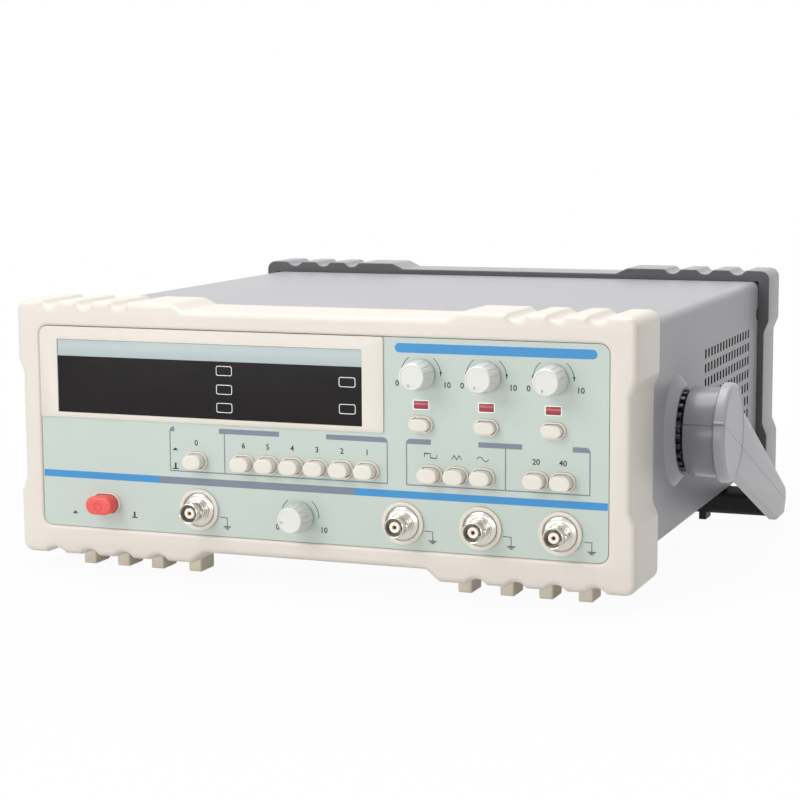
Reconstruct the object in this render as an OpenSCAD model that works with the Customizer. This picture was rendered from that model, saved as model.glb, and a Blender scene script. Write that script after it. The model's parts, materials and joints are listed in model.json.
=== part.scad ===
// Bench function generator: moulded front and rear bezels, a sheet-metal case,
// a keyed control panel and a tilting handle. Millimetres. X right, Y back, Z up;
// the floor is z = 0 and the origin is the middle of the footprint.

/* [Case] */
// Width over the proud corners of both bezels
bezel_w = 310; // [250:1:400]
// Height of a bezel, without the feet
bezel_h = 124; // [110:1:180]
// Panel face to the back of the rear bezel
body_d = 325.5; // [250:0.5:420]
// Gap from the floor to the underside of the bezels
foot_h = 8; // [4:0.5:15]
// Front of a foot behind the panel face
foot_y = 16.5; // [10:0.5:25]
// Extra distance of each innermost foot from its neighbour
last_foot = 1.8; // [0:0.1:4]
// Depth of the front bezel behind the panel face
front_bezel_d = 39.5; // [30:0.5:60]
// Depth of the rear bezel
rear_bezel_d = 32; // [25:0.5:50]
// How far the bezel's front face stands ahead of the panel
lip_proud = 1; // [0.4:0.1:3]
// Bezel wall at the proud corners, side and top
bezel_wall = 6.1; // [5:0.1:9]
// Bezel wall under the case
bezel_floor = 12.4; // [9.5:0.1:16]
// Sheet thickness of the case
sheet_t = 1.2; // [0.8:0.1:2]
// Bend radius of the cover's top edges
bend_r = 4; // [2:0.5:8]

/* [Bezel outline] */
// Outer corner radius
corner_r = 5; // [2:0.5:10]
// Depth of the recess in the middle of the top
top_recess = 3.2; // [1:0.1:4.5]
// Half width of the top recess
top_recess_w = 66; // [40:1:90]
// Depth of the recess in the middle of the underside
base_recess = 5.4; // [1:0.1:7]
// Half width of the recess in the underside
base_recess_w = 56; // [40:1:60]
// Depth of the recess in the sides
side_recess = 2.6; // [1:0.1:4]
// Bottom of the side recess above the floor
side_recess_z = 45; // [30:1:60]
// Height of the side recess
side_recess_h = 52; // [30:1:70]
// Length of the slopes that lead into the recesses
slope_w = 6.5; // [3:0.5:12]
// Distance between the finger scoops
scoop_pitch = 18.7; // [14:0.1:24]
// Distance from the bezel's side to the first scoop
scoop_edge = 18.3; // [14:0.1:24]
// Radius of a scoop
scoop_r = 5.5; // [4:0.1:8]
// Depth of a scoop
scoop_d = 2.6; // [1:0.1:4]

/* [Control panel] */
// Width of the panel opening
panel_w = 285; // [230:1:360]
// Height of the panel opening
panel_h = 98; // [90:1:150]
// Bottom of the panel opening above the floor
panel_z = 22; // [15:0.5:30]
// Corner radius of the panel opening
panel_r = 4.7; // [1:0.1:10]
// Thickness of the printed overlay
overlay_t = 0.5; // [0.3:0.1:1]
// Thickness of the panel moulding
moulding_t = 3; // [2:0.5:5]
// Height of the raised rims above the overlay
rim_proud = 1.3; // [0.8:0.1:3]
// Width of the rim around a key
rim_w = 0.75; // [0.5:0.05:1.2]
// Running gap around keys, boards and sliding pieces
gap = 0.25; // [0.15:0.05:0.4]

/* [Display] */
// Width of the window and of the strip above it
window_w = 158.4; // [120:0.1:170]
// Height of the window
window_h = 27.2; // [20:0.1:32]
// Height of the label strip
strip_h = 8; // [5:0.1:10]
// Left edge of the window from the left edge of the panel opening
window_x = 9.8; // [8:0.1:14]
// Top of the label strip below the top of the panel opening
window_drop = 6.5; // [5:0.1:9]
// Margin of the surround right of the window
surround_x = 10.5; // [6:0.1:12]
// Margin of the surround below the window
surround_z = 2.6; // [1.5:0.1:4]
// Height of the surround above the overlay
surround_proud = 0.8; // [0.5:0.1:1.1]
// Thickness of the window
window_t = 1; // [0.8:0.1:1.5]

/* [Keys] */
// Width of a key cap
key_w = 9.8; // [8:0.1:10.2]
// Height of a key cap
key_h = 6.9; // [5:0.1:9]
// How far a key cap stands out of the panel
key_proud = 6.4; // [5:0.1:9]
// Key travel
key_travel = 3.5; // [2:0.1:4.5]
// Distance between neighbouring keys
key_pitch = 12.5; // [12.5:0.1:13.5]
// Height of the long key row above the panel's bottom edge
row_z = 35.7; // [34:0.1:38]
// First range key left of the panel's centre
range_x = 34.6; // [30:0.1:40]
// External input key left of the panel's centre
ext_x = 59.2; // [55:0.1:65]
// First wave key right of the panel's centre
wave_x = 58.9; // [55:0.1:62]
// First attenuator key right of the panel's centre
atten_x = 108.9; // [100:0.1:115]
// Height of a level key cap
level_h = 5.8; // [4.5:0.1:7]
// How far a level key stands out
level_proud = 4.4; // [4:0.1:6]
// Level keys above the panel's bottom edge
level_z = 58.5; // [54:0.1:62]
// Indicator lenses above the panel's bottom edge
lens_z = 67.4; // [65:0.1:70]
// Width of an indicator lens
lens_w = 6.8; // [5:0.1:9]
// Height of an indicator lens
lens_h = 3.5; // [2.5:0.1:5]
// Width of the power key
power_w = 14; // [11:0.1:18]
// Height of the power key
power_h = 8.9; // [7:0.1:11]
// How far the power key stands out
power_proud = 8.5; // [6:0.1:11]
// Power key left of the panel's centre
power_x = 108.2; // [100:0.1:115]
// Key stem radius
stem_r = 2; // [1.5:0.1:2.4]

/* [Knobs and jacks] */
// First level knob right of the panel's centre
knob_x = 54.4; // [50:0.1:58]
// Distance between level knobs
knob_pitch = 31.2; // [26:0.1:33]
// Level knobs above the panel's bottom edge
knob_z = 81.4; // [78:0.1:84]
// Frequency knob left of the panel's centre
freq_x = 6; // [0:0.1:12]
// Knob radius at the panel
knob_r = 6.9; // [6.6:0.1:9]
// Knob radius at the face
knob_face_r = 6.1; // [5:0.1:8]
// How far a knob stands out of the panel
knob_proud = 13; // [12.5:0.1:18]
// Radius of a potentiometer shaft
shaft_r = 3; // [2:0.1:3.2]
// Radial running clearance of a shaft
shaft_gap = 0.05; // [0.02:0.01:0.1]
// Turn of a knob between its stops, in degrees
knob_turn = 300; // [240:5:330]
// Pointer of a level knob from straight down, at its lower stop
pointer = 20; // [0:5:60]
// Pointer of the frequency knob from straight down
freq_pointer = 76; // [0:1:180]
// Pointer dimple from the middle of a knob
pointer_r = 4.4; // [3:0.1:4.8]
// Height of the lower row of knobs and jacks above the panel's bottom edge
low_z = 12.4; // [12:0.1:14]
// Input jack left of the panel's centre
jack_in_x = 58; // [50:0.1:64]
// First output jack right of the panel's centre
jack_out_x = 45.4; // [40:0.1:50]
// Distance between output jacks
jack_pitch = 37.5; // [30:0.1:40]
// Radius of the rim around a jack
jack_rim_r = 10; // [9:0.1:11]
// Radius of a jack's barrel
jack_r = 4.83; // [4.7:0.01:4.9]
// How far a jack stands out of the panel
jack_proud = 12.4; // [11:0.1:13]
// Radius of a jack's flange
jack_flange_r = 7.6; // [6.5:0.1:8]

/* [Handle] */
// Handle axis behind the panel face
axis_y = 100; // [90:1:115]
// Handle axis above the floor
axis_z = 68.4; // [60:0.1:90]
// Handle axis to the middle of the grip
arm_len = 139; // [136:0.5:150]
// Stowed arm below the horizontal, in degrees
arm_drop = 22.1; // [21:0.1:23]
// Middle of the grip below the arm's centre line
grip_sag = 4.1; // [2:0.1:6]
// Radius of the hub
hub_r = 21.7; // [18:0.1:26]
// Inner end of the hub from the case side
hub_gap = 7.6; // [6:0.1:10]
// Length of the hub
hub_l = 15; // [10:0.5:22]
// Radius of the hub's cap
cap_r = 24; // [20:0.1:30]
// Thickness of the cap and arm
arm_t = 5.7; // [4:0.1:9]
// Half height of the arm where it leaves the cap
arm_root_r = 17.7; // [12:0.1:20]
// Half height of the arm's tip
arm_tip_r = 7.5; // [6:0.1:9]
// End of the arm beyond the middle of the grip
arm_end = 12.6; // [10:0.1:16]
// Face of the cap in front of the arm
cap_step = 0.5; // [0.2:0.1:1.5]
// Section of the grip along the arm
grip_w = 20; // [14:0.5:24]
// Section of the grip across the arm
grip_h = 13; // [10:0.5:15]
// Rubber pads under the grip, from the middle of the instrument
pad_x = 135.6; // [100:0.1:150]
// Radius of the pivot pin
pin_r = 4; // [3:0.1:6]
// Radius of the raised ring pressed into the case side
ring_r = 27; // [24:0.1:32]
// Radius of the hole in the raised ring
ring_hole_r = 20; // [17:0.1:24]
// Height of the raised ring
ring_h = 4.2; // [3:0.1:5]

/* [Vents] */
// Slots in a row
vent_count = 16; // [8:1:18]
// Rows of slots
vent_rows = 7; // [3:1:9]
// Distance between slots
vent_pitch = 7.1; // [5:0.1:7.5]
// Distance between rows
vent_row_pitch = 7.4; // [6:0.1:9]
// Slot width
vent_w = 2.8; // [1.5:0.1:4]
// Slot height
vent_h = 4.6; // [3:0.1:5.5]
// First slot behind the panel face
vent_y = 162; // [150:1:175]
// Top row below the top of the case
vent_drop = 27; // [20:0.5:35]

/* [Rear] */
// How far the rear panel sits inside the rear bezel
rear_recess = 18; // [12:0.5:22]
// Mains inlet from the centre, seen from the front
inlet_x = -98; // [-110:1:-80]
// Middle of the inlet above the floor
inlet_z = 62; // [50:1:80]
// Width of the inlet socket
socket_w = 24.6; // [24:0.1:25]
// Height of the inlet socket
socket_h = 16.6; // [16:0.1:17]
// Depth of the inlet socket
socket_d = 17; // [16:0.5:19]
// Height of the fuse drawer
drawer_h = 8; // [7:0.1:10]
// Depth of the fuse drawer
drawer_d = 16; // [12:0.5:18]

/* [Inside] */
// Front board behind the panel face
board_y = 24; // [22:0.5:28]
// Thickness of the boards
board_t = 1.6; // [1:0.1:2]
// Main board above the case floor
board_up = 12; // [8:0.5:20]
// Potentiometer body radius
pot_r = 8; // [7:0.5:8]
// Width of the transformer core
core_w = 62; // [50:1:70]
// Height of the transformer core
core_h = 52; // [40:1:60]
// Thickness of the transformer core
core_t = 34; // [25:1:40]

/* [Hidden] */
$fn = 64;
e = 0.01;

panel_y = (knob_proud - body_d) / 2;      // panel face in the part's own frame
bezel_x = bezel_w / 2;
bezel_z1 = foot_h + bezel_h;
case_x = bezel_x - bezel_wall - 0.2;      // outside of the cover
case_z0 = foot_h + bezel_floor + 0.2;
case_z1 = bezel_z1 - bezel_wall - 0.2;
pocket_x = case_x + 0.2;
rear_y = body_d - rear_bezel_d;           // front edge of the rear bezel
wall_y = body_d - rear_recess;            // outer face of the rear panel
cover_y0 = front_bezel_d - 25;
cover_y1 = wall_y - sheet_t - 0.3;
lip_t = overlay_t + moulding_t - 0.2;     // back face of the front lip
panel_x = panel_w / 2;
panel_z1 = panel_z + panel_h;
back_y = overlay_t + moulding_t;          // back face of the panel moulding
win_x0 = window_x - panel_x;
win_x1 = win_x0 + window_w;
win_z1 = panel_z1 - window_drop;
win_z0 = win_z1 - strip_h - window_h;
pane_y = -surround_proud + 0.5;           // face of the window and the strip
ledge = 2.5;                              // shelf that the window is glued to
sur_x = win_x1 + surround_x;
sur_z = win_z0 - surround_z;
key_z = panel_z + row_z;
power_z = panel_z + low_z;
cap_back = 5;                             // back of a key cap behind the panel face
bank_y = cap_back + key_travel + 1;
stem_end = bank_y + 4.5;
nut_t = 1.7;
nut_r = 5.2;                              // over the corners of a potentiometer nut
bush_r = 3.5;
pot_y = board_y - 10;
socket_y = wall_y + 3;                    // face of the inlet's flange
hub_x = case_x + hub_gap;
cap_x = hub_x + hub_l;
face_x = cap_x + arm_t;
level_xs = [for (i = [0:2]) knob_x + knob_pitch * i];
range_xs = [for (i = [0:5]) -range_x + key_pitch * i];
wave_xs = [for (i = [0:2]) wave_x + key_pitch * i];
atten_xs = [for (i = [0:1]) atten_x + key_pitch * i];
jack_xs = [-jack_in_x, for (i = [0:2]) jack_out_x + jack_pitch * i];
knobs = [[-freq_x, power_z], for (x = level_xs) [x, panel_z + knob_z]];
// Corner screws that hold the panel moulding and the rear panel, inside the cover
corners = [for (s = [-1, 1], z = [case_z0 + sheet_t + 2.8, case_z1 - sheet_t - 2.8])
  [s * (case_x - sheet_t - 2.8), z]];
long_keys = concat([-ext_x], range_xs, wave_xs, atten_xs);
fin_w = 6.8;
fin_d = 15;

module dev() translate([0, panel_y, 0]) children();

// Outline in X and Z, from y0 back to y1
module slab(y0, y1) translate([0, y1, 0]) rotate([90, 0, 0]) linear_extrude(y1 - y0) children();

// Outline in Y and Z, from x0 right to x1
module side_slab(x0, x1)
  translate([x0, 0, 0]) rotate([90, 0, 90]) linear_extrude(x1 - x0) children();

// Profile of radius and depth, turned about an axis that points back
module turned(x, z, y = 0)
  translate([x, y, z]) rotate([-90, 0, 0]) rotate_extrude() children();

module rrect(x0, z0, x1, z1, r) {
  translate([x0 + r, z0]) square([x1 - x0 - 2 * r, z1 - z0]);
  translate([x0, z0 + r]) square([x1 - x0, z1 - z0 - 2 * r]);
  for (x = [x0 + r, x1 - r], z = [z0 + r, z1 - r]) translate([x, z]) circle(r);
}

module obround(x, z, w, h) translate([x, z]) {
  square([w - h, h], center = true);
  for (s = [-1, 1]) translate([s * (w - h) / 2, 0]) circle(h / 2);
}

module box(x0, y0, z0, x1, y1, z1)
  translate([x0, y0, z0]) cube([x1 - x0, y1 - y0, z1 - z0]);

module both() for (s = [0, 1]) mirror([s, 0, 0]) children();

/* Bezels */

// Tapered recess of half width w and depth d along a line at height z, cut towards side s
module recess(w, d, z, s) polygon([[-w - slope_w, z], [-w, z - s * d], [w, z - s * d],
  [w + slope_w, z], [w + slope_w, z + s], [-w - slope_w, z + s]]);

module bezel_outline() difference() {
  rrect(-bezel_x, foot_h, bezel_x, bezel_z1, corner_r);
  recess(top_recess_w, top_recess, bezel_z1, 1);
  recess(base_recess_w, base_recess, foot_h, -1);
  for (s = [-1, 1]) polygon([
    [s * (bezel_x + 1), side_recess_z - slope_w], [s * bezel_x, side_recess_z - slope_w],
    [s * (bezel_x - side_recess), side_recess_z],
    [s * (bezel_x - side_recess), side_recess_z + side_recess_h],
    [s * bezel_x, side_recess_z + side_recess_h + slope_w],
    [s * (bezel_x + 1), side_recess_z + side_recess_h + slope_w]]);
  for (s = [-1, 1], i = [0:3]) translate([s * (bezel_x - scoop_edge - i * scoop_pitch), 0]) {
    translate([0, foot_h + scoop_d - scoop_r]) circle(scoop_r);
    if (i < 3) translate([0, bezel_z1 - scoop_d + scoop_r]) circle(scoop_r);
  }
}

module opening_outline(g = 0)
  rrect(-panel_x + g, panel_z + g, panel_x - g, panel_z1 - g, panel_r - g);

module pocket_outline()
  translate([-pocket_x, case_z0 - 0.2]) square([2 * pocket_x, case_z1 - case_z0 + 0.4]);

module front_bezel() color("#E8E0D6") dev() difference() {
  slab(-lip_proud, front_bezel_d) bezel_outline();
  slab(-lip_proud - 1, lip_t + e) opening_outline();
  slab(lip_t, front_bezel_d + 1) pocket_outline();
  for (p = corners) turned(p[0], p[1], 0.7) square([1.3, lip_t]);
}

module rear_bezel() color("#A9A9AB") dev() difference() {
  slab(rear_y, body_d) bezel_outline();
  slab(wall_y - 1, body_d + 1) opening_outline();
  slab(rear_y - 1, wall_y + 0.2) pocket_outline();
  for (p = corners) turned(p[0], p[1], wall_y - 1) square([1.3, 8]);
}

/* Control panel */

module surround_outline() {
  intersection() {
    opening_outline(0.2);
    rrect(-panel_x - 5, sur_z, sur_x, panel_z1 - 0.2, 1);
  }
}

module key_hole(x, z, w, h, g = gap) obround(x, z, w + 2 * g, h + 2 * g);

// Holes or rims at every key: g is the gap around the caps
module key_field(g) {
  for (x = long_keys) key_hole(x, key_z, key_w, key_h, g);
  for (x = level_xs) key_hole(x, panel_z + level_z, key_w, level_h, g);
  key_hole(-power_x, power_z, power_w, power_h, g);
}

module lens_field(g) for (x = level_xs) translate([x, panel_z + lens_z])
  square([lens_w + 2 * g, lens_h + 2 * g], center = true);

module control_panel() color("#E6E1D8") dev() difference() {
  union() {
    slab(overlay_t, back_y) opening_outline(0.2);
    slab(back_y - e, back_y + 2) difference() {
      translate([-pocket_x + 0.5, case_z0 + 0.3])
        square([2 * pocket_x - 1, case_z1 - case_z0 - 0.6]);
      opening_outline(4);
    }
    slab(-surround_proud, overlay_t + e) surround_outline();
    slab(-rim_proud, overlay_t + e) {
      key_field(gap + rim_w);
      for (x = jack_xs) translate([x, power_z]) circle(jack_rim_r);
    }
  }
  slab(-surround_proud - 1, pane_y + window_t)
    translate([win_x0 - 0.15, win_z0 - 0.15]) square([window_w + 0.3, win_z1 - win_z0 + 0.3]);
  slab(-1, back_y + 1) translate([win_x0 + ledge, win_z0 + ledge])
    square([window_w - 2 * ledge, window_h - 2 * ledge]);
  slab(-rim_proud - 1, back_y + 1) {
    key_field(gap);
    lens_field(0.1);
    for (k = knobs) translate(k) circle(bush_r + 0.15);
    for (x = jack_xs) translate([x, power_z]) circle(6.4);
  }
  for (x = jack_xs) turned(x, power_z, -rim_proud - 1)
    square([jack_rim_r - 1.7, rim_proud + 1 + overlay_t]);
  for (p = corners) turned(p[0], p[1], back_y - 1) square([1.7, 4]);
}

module panel_overlay() color("#C8D3CB") dev() slab(0, overlay_t) difference() {
  opening_outline(0.2);
  rrect(-panel_x - 5, sur_z - 0.1, sur_x + 0.1, panel_z1 + 5, 1.1);
  key_field(gap + rim_w + 0.1);
  lens_field(0.1);
  for (k = knobs) translate(k) circle(bush_r + 0.15);
  for (x = jack_xs) translate([x, power_z]) circle(jack_rim_r + 0.1);
}

module display_window() color("#2A2426") dev() slab(pane_y, pane_y + window_t)
  translate([win_x0, win_z0]) square([window_w, window_h - 0.05]);

module label_strip() color("#B7C6C5") dev() slab(pane_y, pane_y + window_t)
  translate([win_x0, win_z0 + window_h + 0.05]) square([window_w, strip_h - 0.05]);

module indicator_lenses() color("#952B36") dev() slab(-0.1, board_y) lens_field(0);

/* Front board */

module front_board() color("#2E6B4A") dev() slab(board_y, board_y + board_t) difference() {
  translate([-panel_x + 4, panel_z + 3]) square([panel_w - 8, panel_h - 6]);
  for (x = jack_xs) translate([x, power_z]) circle(7.5);
}

digit_w = 15;
digit_h = 22;
module digit_modules() color("#3A1418") dev() slab(board_y - 12, board_y) for (i = [0:5])
  translate([win_x0 + 12 + i * (digit_w + 1), win_z0 + (window_h - digit_h) / 2])
    square([digit_w, digit_h]);

module bank(x0, x1, z, h, n, y1 = board_y) difference() {
  box(x0 - 5.5, bank_y, z - h / 2, x1 + 5.5, y1, z + h / 2);
  for (i = [0:n - 1]) turned(n == 1 ? x0 : x0 + (x1 - x0) * i / (n - 1), z, bank_y - 1)
    square([stem_r + shaft_gap, stem_end + key_travel + 1 - bank_y + 1]);
}

module switch_banks() color("#3C3F45") dev() {
  bank(-ext_x, -ext_x, key_z, 12, 1);
  bank(range_xs[0], range_xs[5], key_z, 12, 6);
  bank(wave_xs[0], wave_xs[2], key_z, 12, 3);
  bank(atten_xs[0], atten_xs[1], key_z, 12, 2);
  for (x = level_xs) bank(x, x, panel_z + level_z, 8, 1);
  bank(-power_x, -power_x, power_z, 14, 1);
}

module potentiometers() color("#5C6168") dev() for (k = knobs) difference() {
  union() {
    turned(k[0], k[1], pot_y) square([pot_r, board_y - pot_y]);
    turned(k[0], k[1], -2.4) square([bush_r, pot_y + 2.4 + e]);
  }
  turned(k[0], k[1], -3) square([shaft_r + shaft_gap, pot_y + 8.1]);
}

module panel_nuts() color("#B9BBBE") dev() {
  for (k = knobs) translate([k[0], 0, k[1]]) rotate([90, 0, 0]) difference() {
    cylinder(r = nut_r, h = nut_t, $fn = 6);
    translate([0, 0, -1]) cylinder(r = bush_r + 0.02, h = nut_t + 2);
  }
  for (x = jack_xs) translate([x, back_y + 2.5, power_z]) rotate([90, 0, 0]) difference() {
    cylinder(r = 8.1, h = 2.5, $fn = 6);
    translate([0, 0, -1]) cylinder(r = 6.22, h = 4.5);
  }
}

/* Jacks */

lug_y = -jack_proud + 4.2;
collar_y = lug_y - 1.2;                   // back of the collar that centres a plug
core_r = 2.8;
contact_r = 0.95;
module jack_shells() color("#C9CACC") dev() for (x = jack_xs) difference() {
  union() {
    turned(x, power_z) polygon([[0, -jack_proud], [jack_r, -jack_proud], [jack_r, collar_y],
      [jack_r - 0.2, collar_y + 0.2], [jack_r - 0.2, -3.2], [5.7, -3], [5.7, -1], [jack_flange_r, -1],
      [jack_flange_r, overlay_t], [6.2, overlay_t], [6.2, 9.5], [0, 9.5]]);
    translate([x - jack_r - 0.75, lug_y, power_z]) rotate([0, 90, 0])
      cylinder(r = 0.95, h = 2 * jack_r + 1.5);
  }
  turned(x, power_z, -jack_proud - 1) square([4.06, 10]);
  turned(x, power_z, -jack_proud - 1) square([core_r + 0.02, jack_proud + 15]);
}

module jack_insulators() color("#F2F0EA") dev() for (x = jack_xs) difference() {
  turned(x, power_z, -jack_proud + 1.2) square([core_r, jack_proud + 10.3]);
  turned(x, power_z, -jack_proud) square([contact_r + 0.02, jack_proud + 15]);
}

module jack_contacts() color("#C9A24A") dev() for (x = jack_xs) difference() {
  turned(x, power_z, -jack_proud + 1.5) square([contact_r, jack_proud + 11.5]);
  turned(x, power_z, -jack_proud) square([contact_r - 0.4, 6]);
}

/* Case */

module vents() for (r = [0:vent_rows - 1], i = [0:vent_count - 1])
  translate([vent_y + i * vent_pitch - vent_w / 2, case_z1 - vent_drop - r * vent_row_pitch - vent_h / 2])
    square([vent_w, vent_h]);

module top_cover() color("#C4C5C8") dev() {
  shoulder = case_z1 - bend_r - 2;
  slab(cover_y0, cover_y1) intersection() {
    difference() {
      rrect(-case_x, case_z0, case_x, case_z1, bend_r);
      rrect(-case_x + sheet_t, case_z0, case_x - sheet_t, case_z1 - sheet_t, bend_r - sheet_t);
    }
    translate([-case_x - 1, shoulder]) square([2 * case_x + 2, bend_r + 5]);
  }
  both() {
    side_slab(case_x - sheet_t, case_x) difference() {
      translate([cover_y0, case_z0]) square([cover_y1 - cover_y0, shoulder - case_z0]);
      translate([axis_y, axis_z]) circle(ring_r + 0.2);
      vents();
      translate([rear_y, shoulder - 12]) circle(3.6);
    }
    translate([case_x, axis_y, axis_z]) rotate([0, 90, 0]) rotate_extrude() polygon([
      [ring_r + 0.2, -sheet_t], [ring_r + 0.2, 0], [ring_r, 0], [ring_hole_r + 1.5, ring_h],
      [ring_hole_r, ring_h], [ring_hole_r, ring_h - sheet_t], [ring_hole_r + 0.9, ring_h - sheet_t],
      [ring_r - 1.4, -sheet_t]]);
  }
}

tray_x = case_x - sheet_t - 0.2;
tray_y1 = cover_y1 - 4;
posts = [for (x = [-30, 130], y = [60, 265]) [x, y]];
board_z = case_z0 + sheet_t + board_up;
module bottom_plate() color("#9FA1A4") dev() difference() {
  union() {
    box(-tray_x, cover_y0, case_z0, tray_x, tray_y1, case_z0 + sheet_t);
    both() box(tray_x - sheet_t, cover_y0, case_z0, tray_x, tray_y1, case_z0 + 9);
    for (p = posts) translate([p[0], p[1], case_z0]) cylinder(r = 3.5, h = board_z - case_z0);
  }
  for (p = posts) translate([p[0], p[1], board_z - 8]) cylinder(r = 1.5, h = 9);
}

module rear_panel() color("#8E9093") dev() difference() {
  slab(wall_y - sheet_t, wall_y) difference() {
    translate([-pocket_x + 0.5, case_z0 + 0.3])
      square([2 * pocket_x - 1, case_z1 - case_z0 - 0.6]);
    translate([inlet_x - socket_w / 2 - 2.2, inlet_z - 15.2]) square([socket_w + 4.4, 32.4]);
    for (p = corners) translate(p) circle(1.7);
  }
}

module feet() color("#BDB6AA") dev() for (y = [foot_y, body_d - 10 - fin_d], i = [0:3]) both() {
  x = bezel_x - scoop_edge - (i + 0.5) * scoop_pitch - (i == 3 ? last_foot : 0);
  box(x - fin_w / 2, y, 0, x + fin_w / 2, y + fin_d, foot_h);
}

module screws() color("#4A4B4E") dev() {
  for (p = posts) translate([p[0], p[1], board_z + board_t]) {
    cylinder(r = 2.8, h = 2);
    translate([0, 0, -8]) cylinder(r = 1.45, h = 8 + e);
  }
  for (p = corners) {
    turned(p[0], p[1], wall_y - sheet_t - 2) square([2.2, 2]);
    turned(p[0], p[1], wall_y - sheet_t - e) square([1.25, 7]);
    turned(p[0], p[1], back_y + 2) square([2.2, 2]);
    turned(p[0], p[1], 0.9) square([1.25, back_y + 1.2]);
  }
}

/* Inside */

module main_board() color("#2E6B4A") dev() difference() {
  box(-45, 50, board_z, tray_x - 6, 280, board_z + board_t);
  for (p = posts) translate([p[0], p[1], board_z - 1]) cylinder(r = 1.6, h = board_t + 2);
}

core_x = inlet_x + 8;
core_y = 235;
coil_w = core_w - 24;
coil_h = core_h - 18;
module transformer_core() color("#6E7075") dev() difference() {
  box(core_x - core_w / 2, core_y - core_t / 2, case_z0 + sheet_t,
      core_x + core_w / 2, core_y + core_t / 2, case_z0 + sheet_t + core_h);
  box(core_x - coil_w / 2, core_y - core_t, case_z0 + sheet_t + 9,
      core_x + coil_w / 2, core_y + core_t, case_z0 + sheet_t + 9 + coil_h);
}

module transformer_winding() color("#B8863C") dev()
  box(core_x - coil_w / 2 + 0.05, core_y - core_t / 2 - 9, case_z0 + sheet_t + 9.05,
      core_x + coil_w / 2 - 0.05, core_y + core_t / 2 + 9, case_z0 + sheet_t + 8.95 + coil_h);

module heatsink() color("#8A8D92") dev() {
  box(60, 240, board_z + board_t, 110, 243, board_z + board_t + 34);
  for (i = [0:5]) box(60 + i * 9.4, 243 - e, board_z + board_t, 63 + i * 9.4, 258, board_z + board_t + 34);
}

module capacitors() color("#2F3A55") dev() {
  for (x = [-10, 15, 40]) translate([x, 230, board_z + board_t]) cylinder(r = 9, h = 28);
  for (x = [20, 50, 80], y = [110, 160]) translate([x, y, board_z + board_t]) cylinder(r = 5, h = 14);
}

/* Rear */

in_x = socket_w / 2;
sock_z0 = inlet_z + 14 - socket_h;
pin_w = 2;
module mains_inlet() color("#1E1F21") dev() difference() {
  union() {
    box(inlet_x - in_x - 2, wall_y - 18, inlet_z - 15, inlet_x + in_x + 2, wall_y + e, inlet_z + 17);
    box(inlet_x - in_x - 5, wall_y, inlet_z - 17, inlet_x + in_x + 5, socket_y, inlet_z + 19);
  }
  box(inlet_x - in_x, socket_y - socket_d, sock_z0, inlet_x + in_x, socket_y + 1, sock_z0 + socket_h);
  box(inlet_x - 11.8, socket_y - drawer_d - 0.3, drawer_z - gap, inlet_x + 11.8, socket_y + 1,
      drawer_z + drawer_h + gap);
}

drawer_z = sock_z0 - 2.5 - drawer_h;
module blade(x, z) box(inlet_x + x - pin_w / 2, socket_y - socket_d, z - 2, inlet_x + x + pin_w / 2,
  socket_y - 2, z + 2);
module inlet_pins() color("#C5C2B4") dev() {
  for (s = [-1, 1]) blade(s * 7, sock_z0 + socket_h / 2 - 2);
  blade(0, sock_z0 + socket_h / 2 + 2);
}

fuse_y = socket_y - drawer_d + 5;
fuse_z = drawer_z + drawer_h / 2;
module fuse_drawer() color("#26272A") dev() difference() {
  union() {
    box(inlet_x - 11.8 + gap, socket_y - drawer_d, drawer_z, inlet_x + 11.8 - gap, socket_y + 1.4,
        drawer_z + drawer_h);
    box(inlet_x - 11.8, socket_y + 0.2, drawer_z - 0.2, inlet_x + 11.8, socket_y + 1.4, drawer_z + drawer_h + 0.2);
  }
  box(inlet_x - 10.2, fuse_y - 2.7, drawer_z + 1.2, inlet_x + 10.2, fuse_y + 2.7, drawer_z + drawer_h + 1);
}

module fuse() color("#D8DCDD") dev() translate([inlet_x - 10, fuse_y, drawer_z + 1.2 + 2.5])
  rotate([0, 90, 0]) cylinder(r = 2.5, h = 20);

/* Handle */

// Pivot axis along X, outwards on the right side
module at_hub() dev() translate([0, axis_y, axis_z]) rotate([0, 90, 0]) children();

module detent_plates() color("#1B1C1D") both() at_hub() difference() {
  union() {
    translate([0, 0, case_x - sheet_t - 2.5]) cylinder(r = ring_r + 2, h = 2.4);
    translate([0, 0, case_x - sheet_t - 0.2]) cylinder(r = 16.5, h = hub_gap - 0.6);
    for (a = [0:30:330]) rotate([0, 0, a]) translate([16, -1.5, case_x - sheet_t - 0.2])
      cube([3, 3, hub_gap - 1.6]);
  }
  translate([0, 0, case_x - 10]) cylinder(r = pin_r + 0.02, h = 30);
}

module pivot_pins() color("#A7A9AC") both() at_hub() {
  translate([0, 0, case_x - sheet_t - 4.5]) cylinder(r = pin_r + 2.5, h = 2);
  translate([0, 0, case_x - sheet_t - 2.5 - e]) cylinder(r = pin_r, h = cap_x - case_x);
  translate([0, 0, cap_x - sheet_t - 2.5]) cylinder(r = pin_r + 2.5, h = 2);
}

module hub() at_hub() difference() {
  translate([0, 0, hub_x]) cylinder(r = hub_r, h = hub_l);
  translate([0, 0, hub_x - 1]) cylinder(r = pin_r + shaft_gap, h = hub_l + 2);
  translate([0, 0, cap_x - sheet_t - 3]) cylinder(r = pin_r + 3, h = 5);
}

module hub_right() color("#8A898E") hub();
module hub_left() color("#8A898E") mirror([1, 0, 0]) hub();

// Direction of the tangent points of a circle at the origin and one at c, above (1) or below (-1)
function tangent(r0, c, r1, side) =
  let (a = atan2(c[1], c[0]) + side * acos((r0 - r1) / norm(c))) [cos(a), sin(a)];

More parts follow.
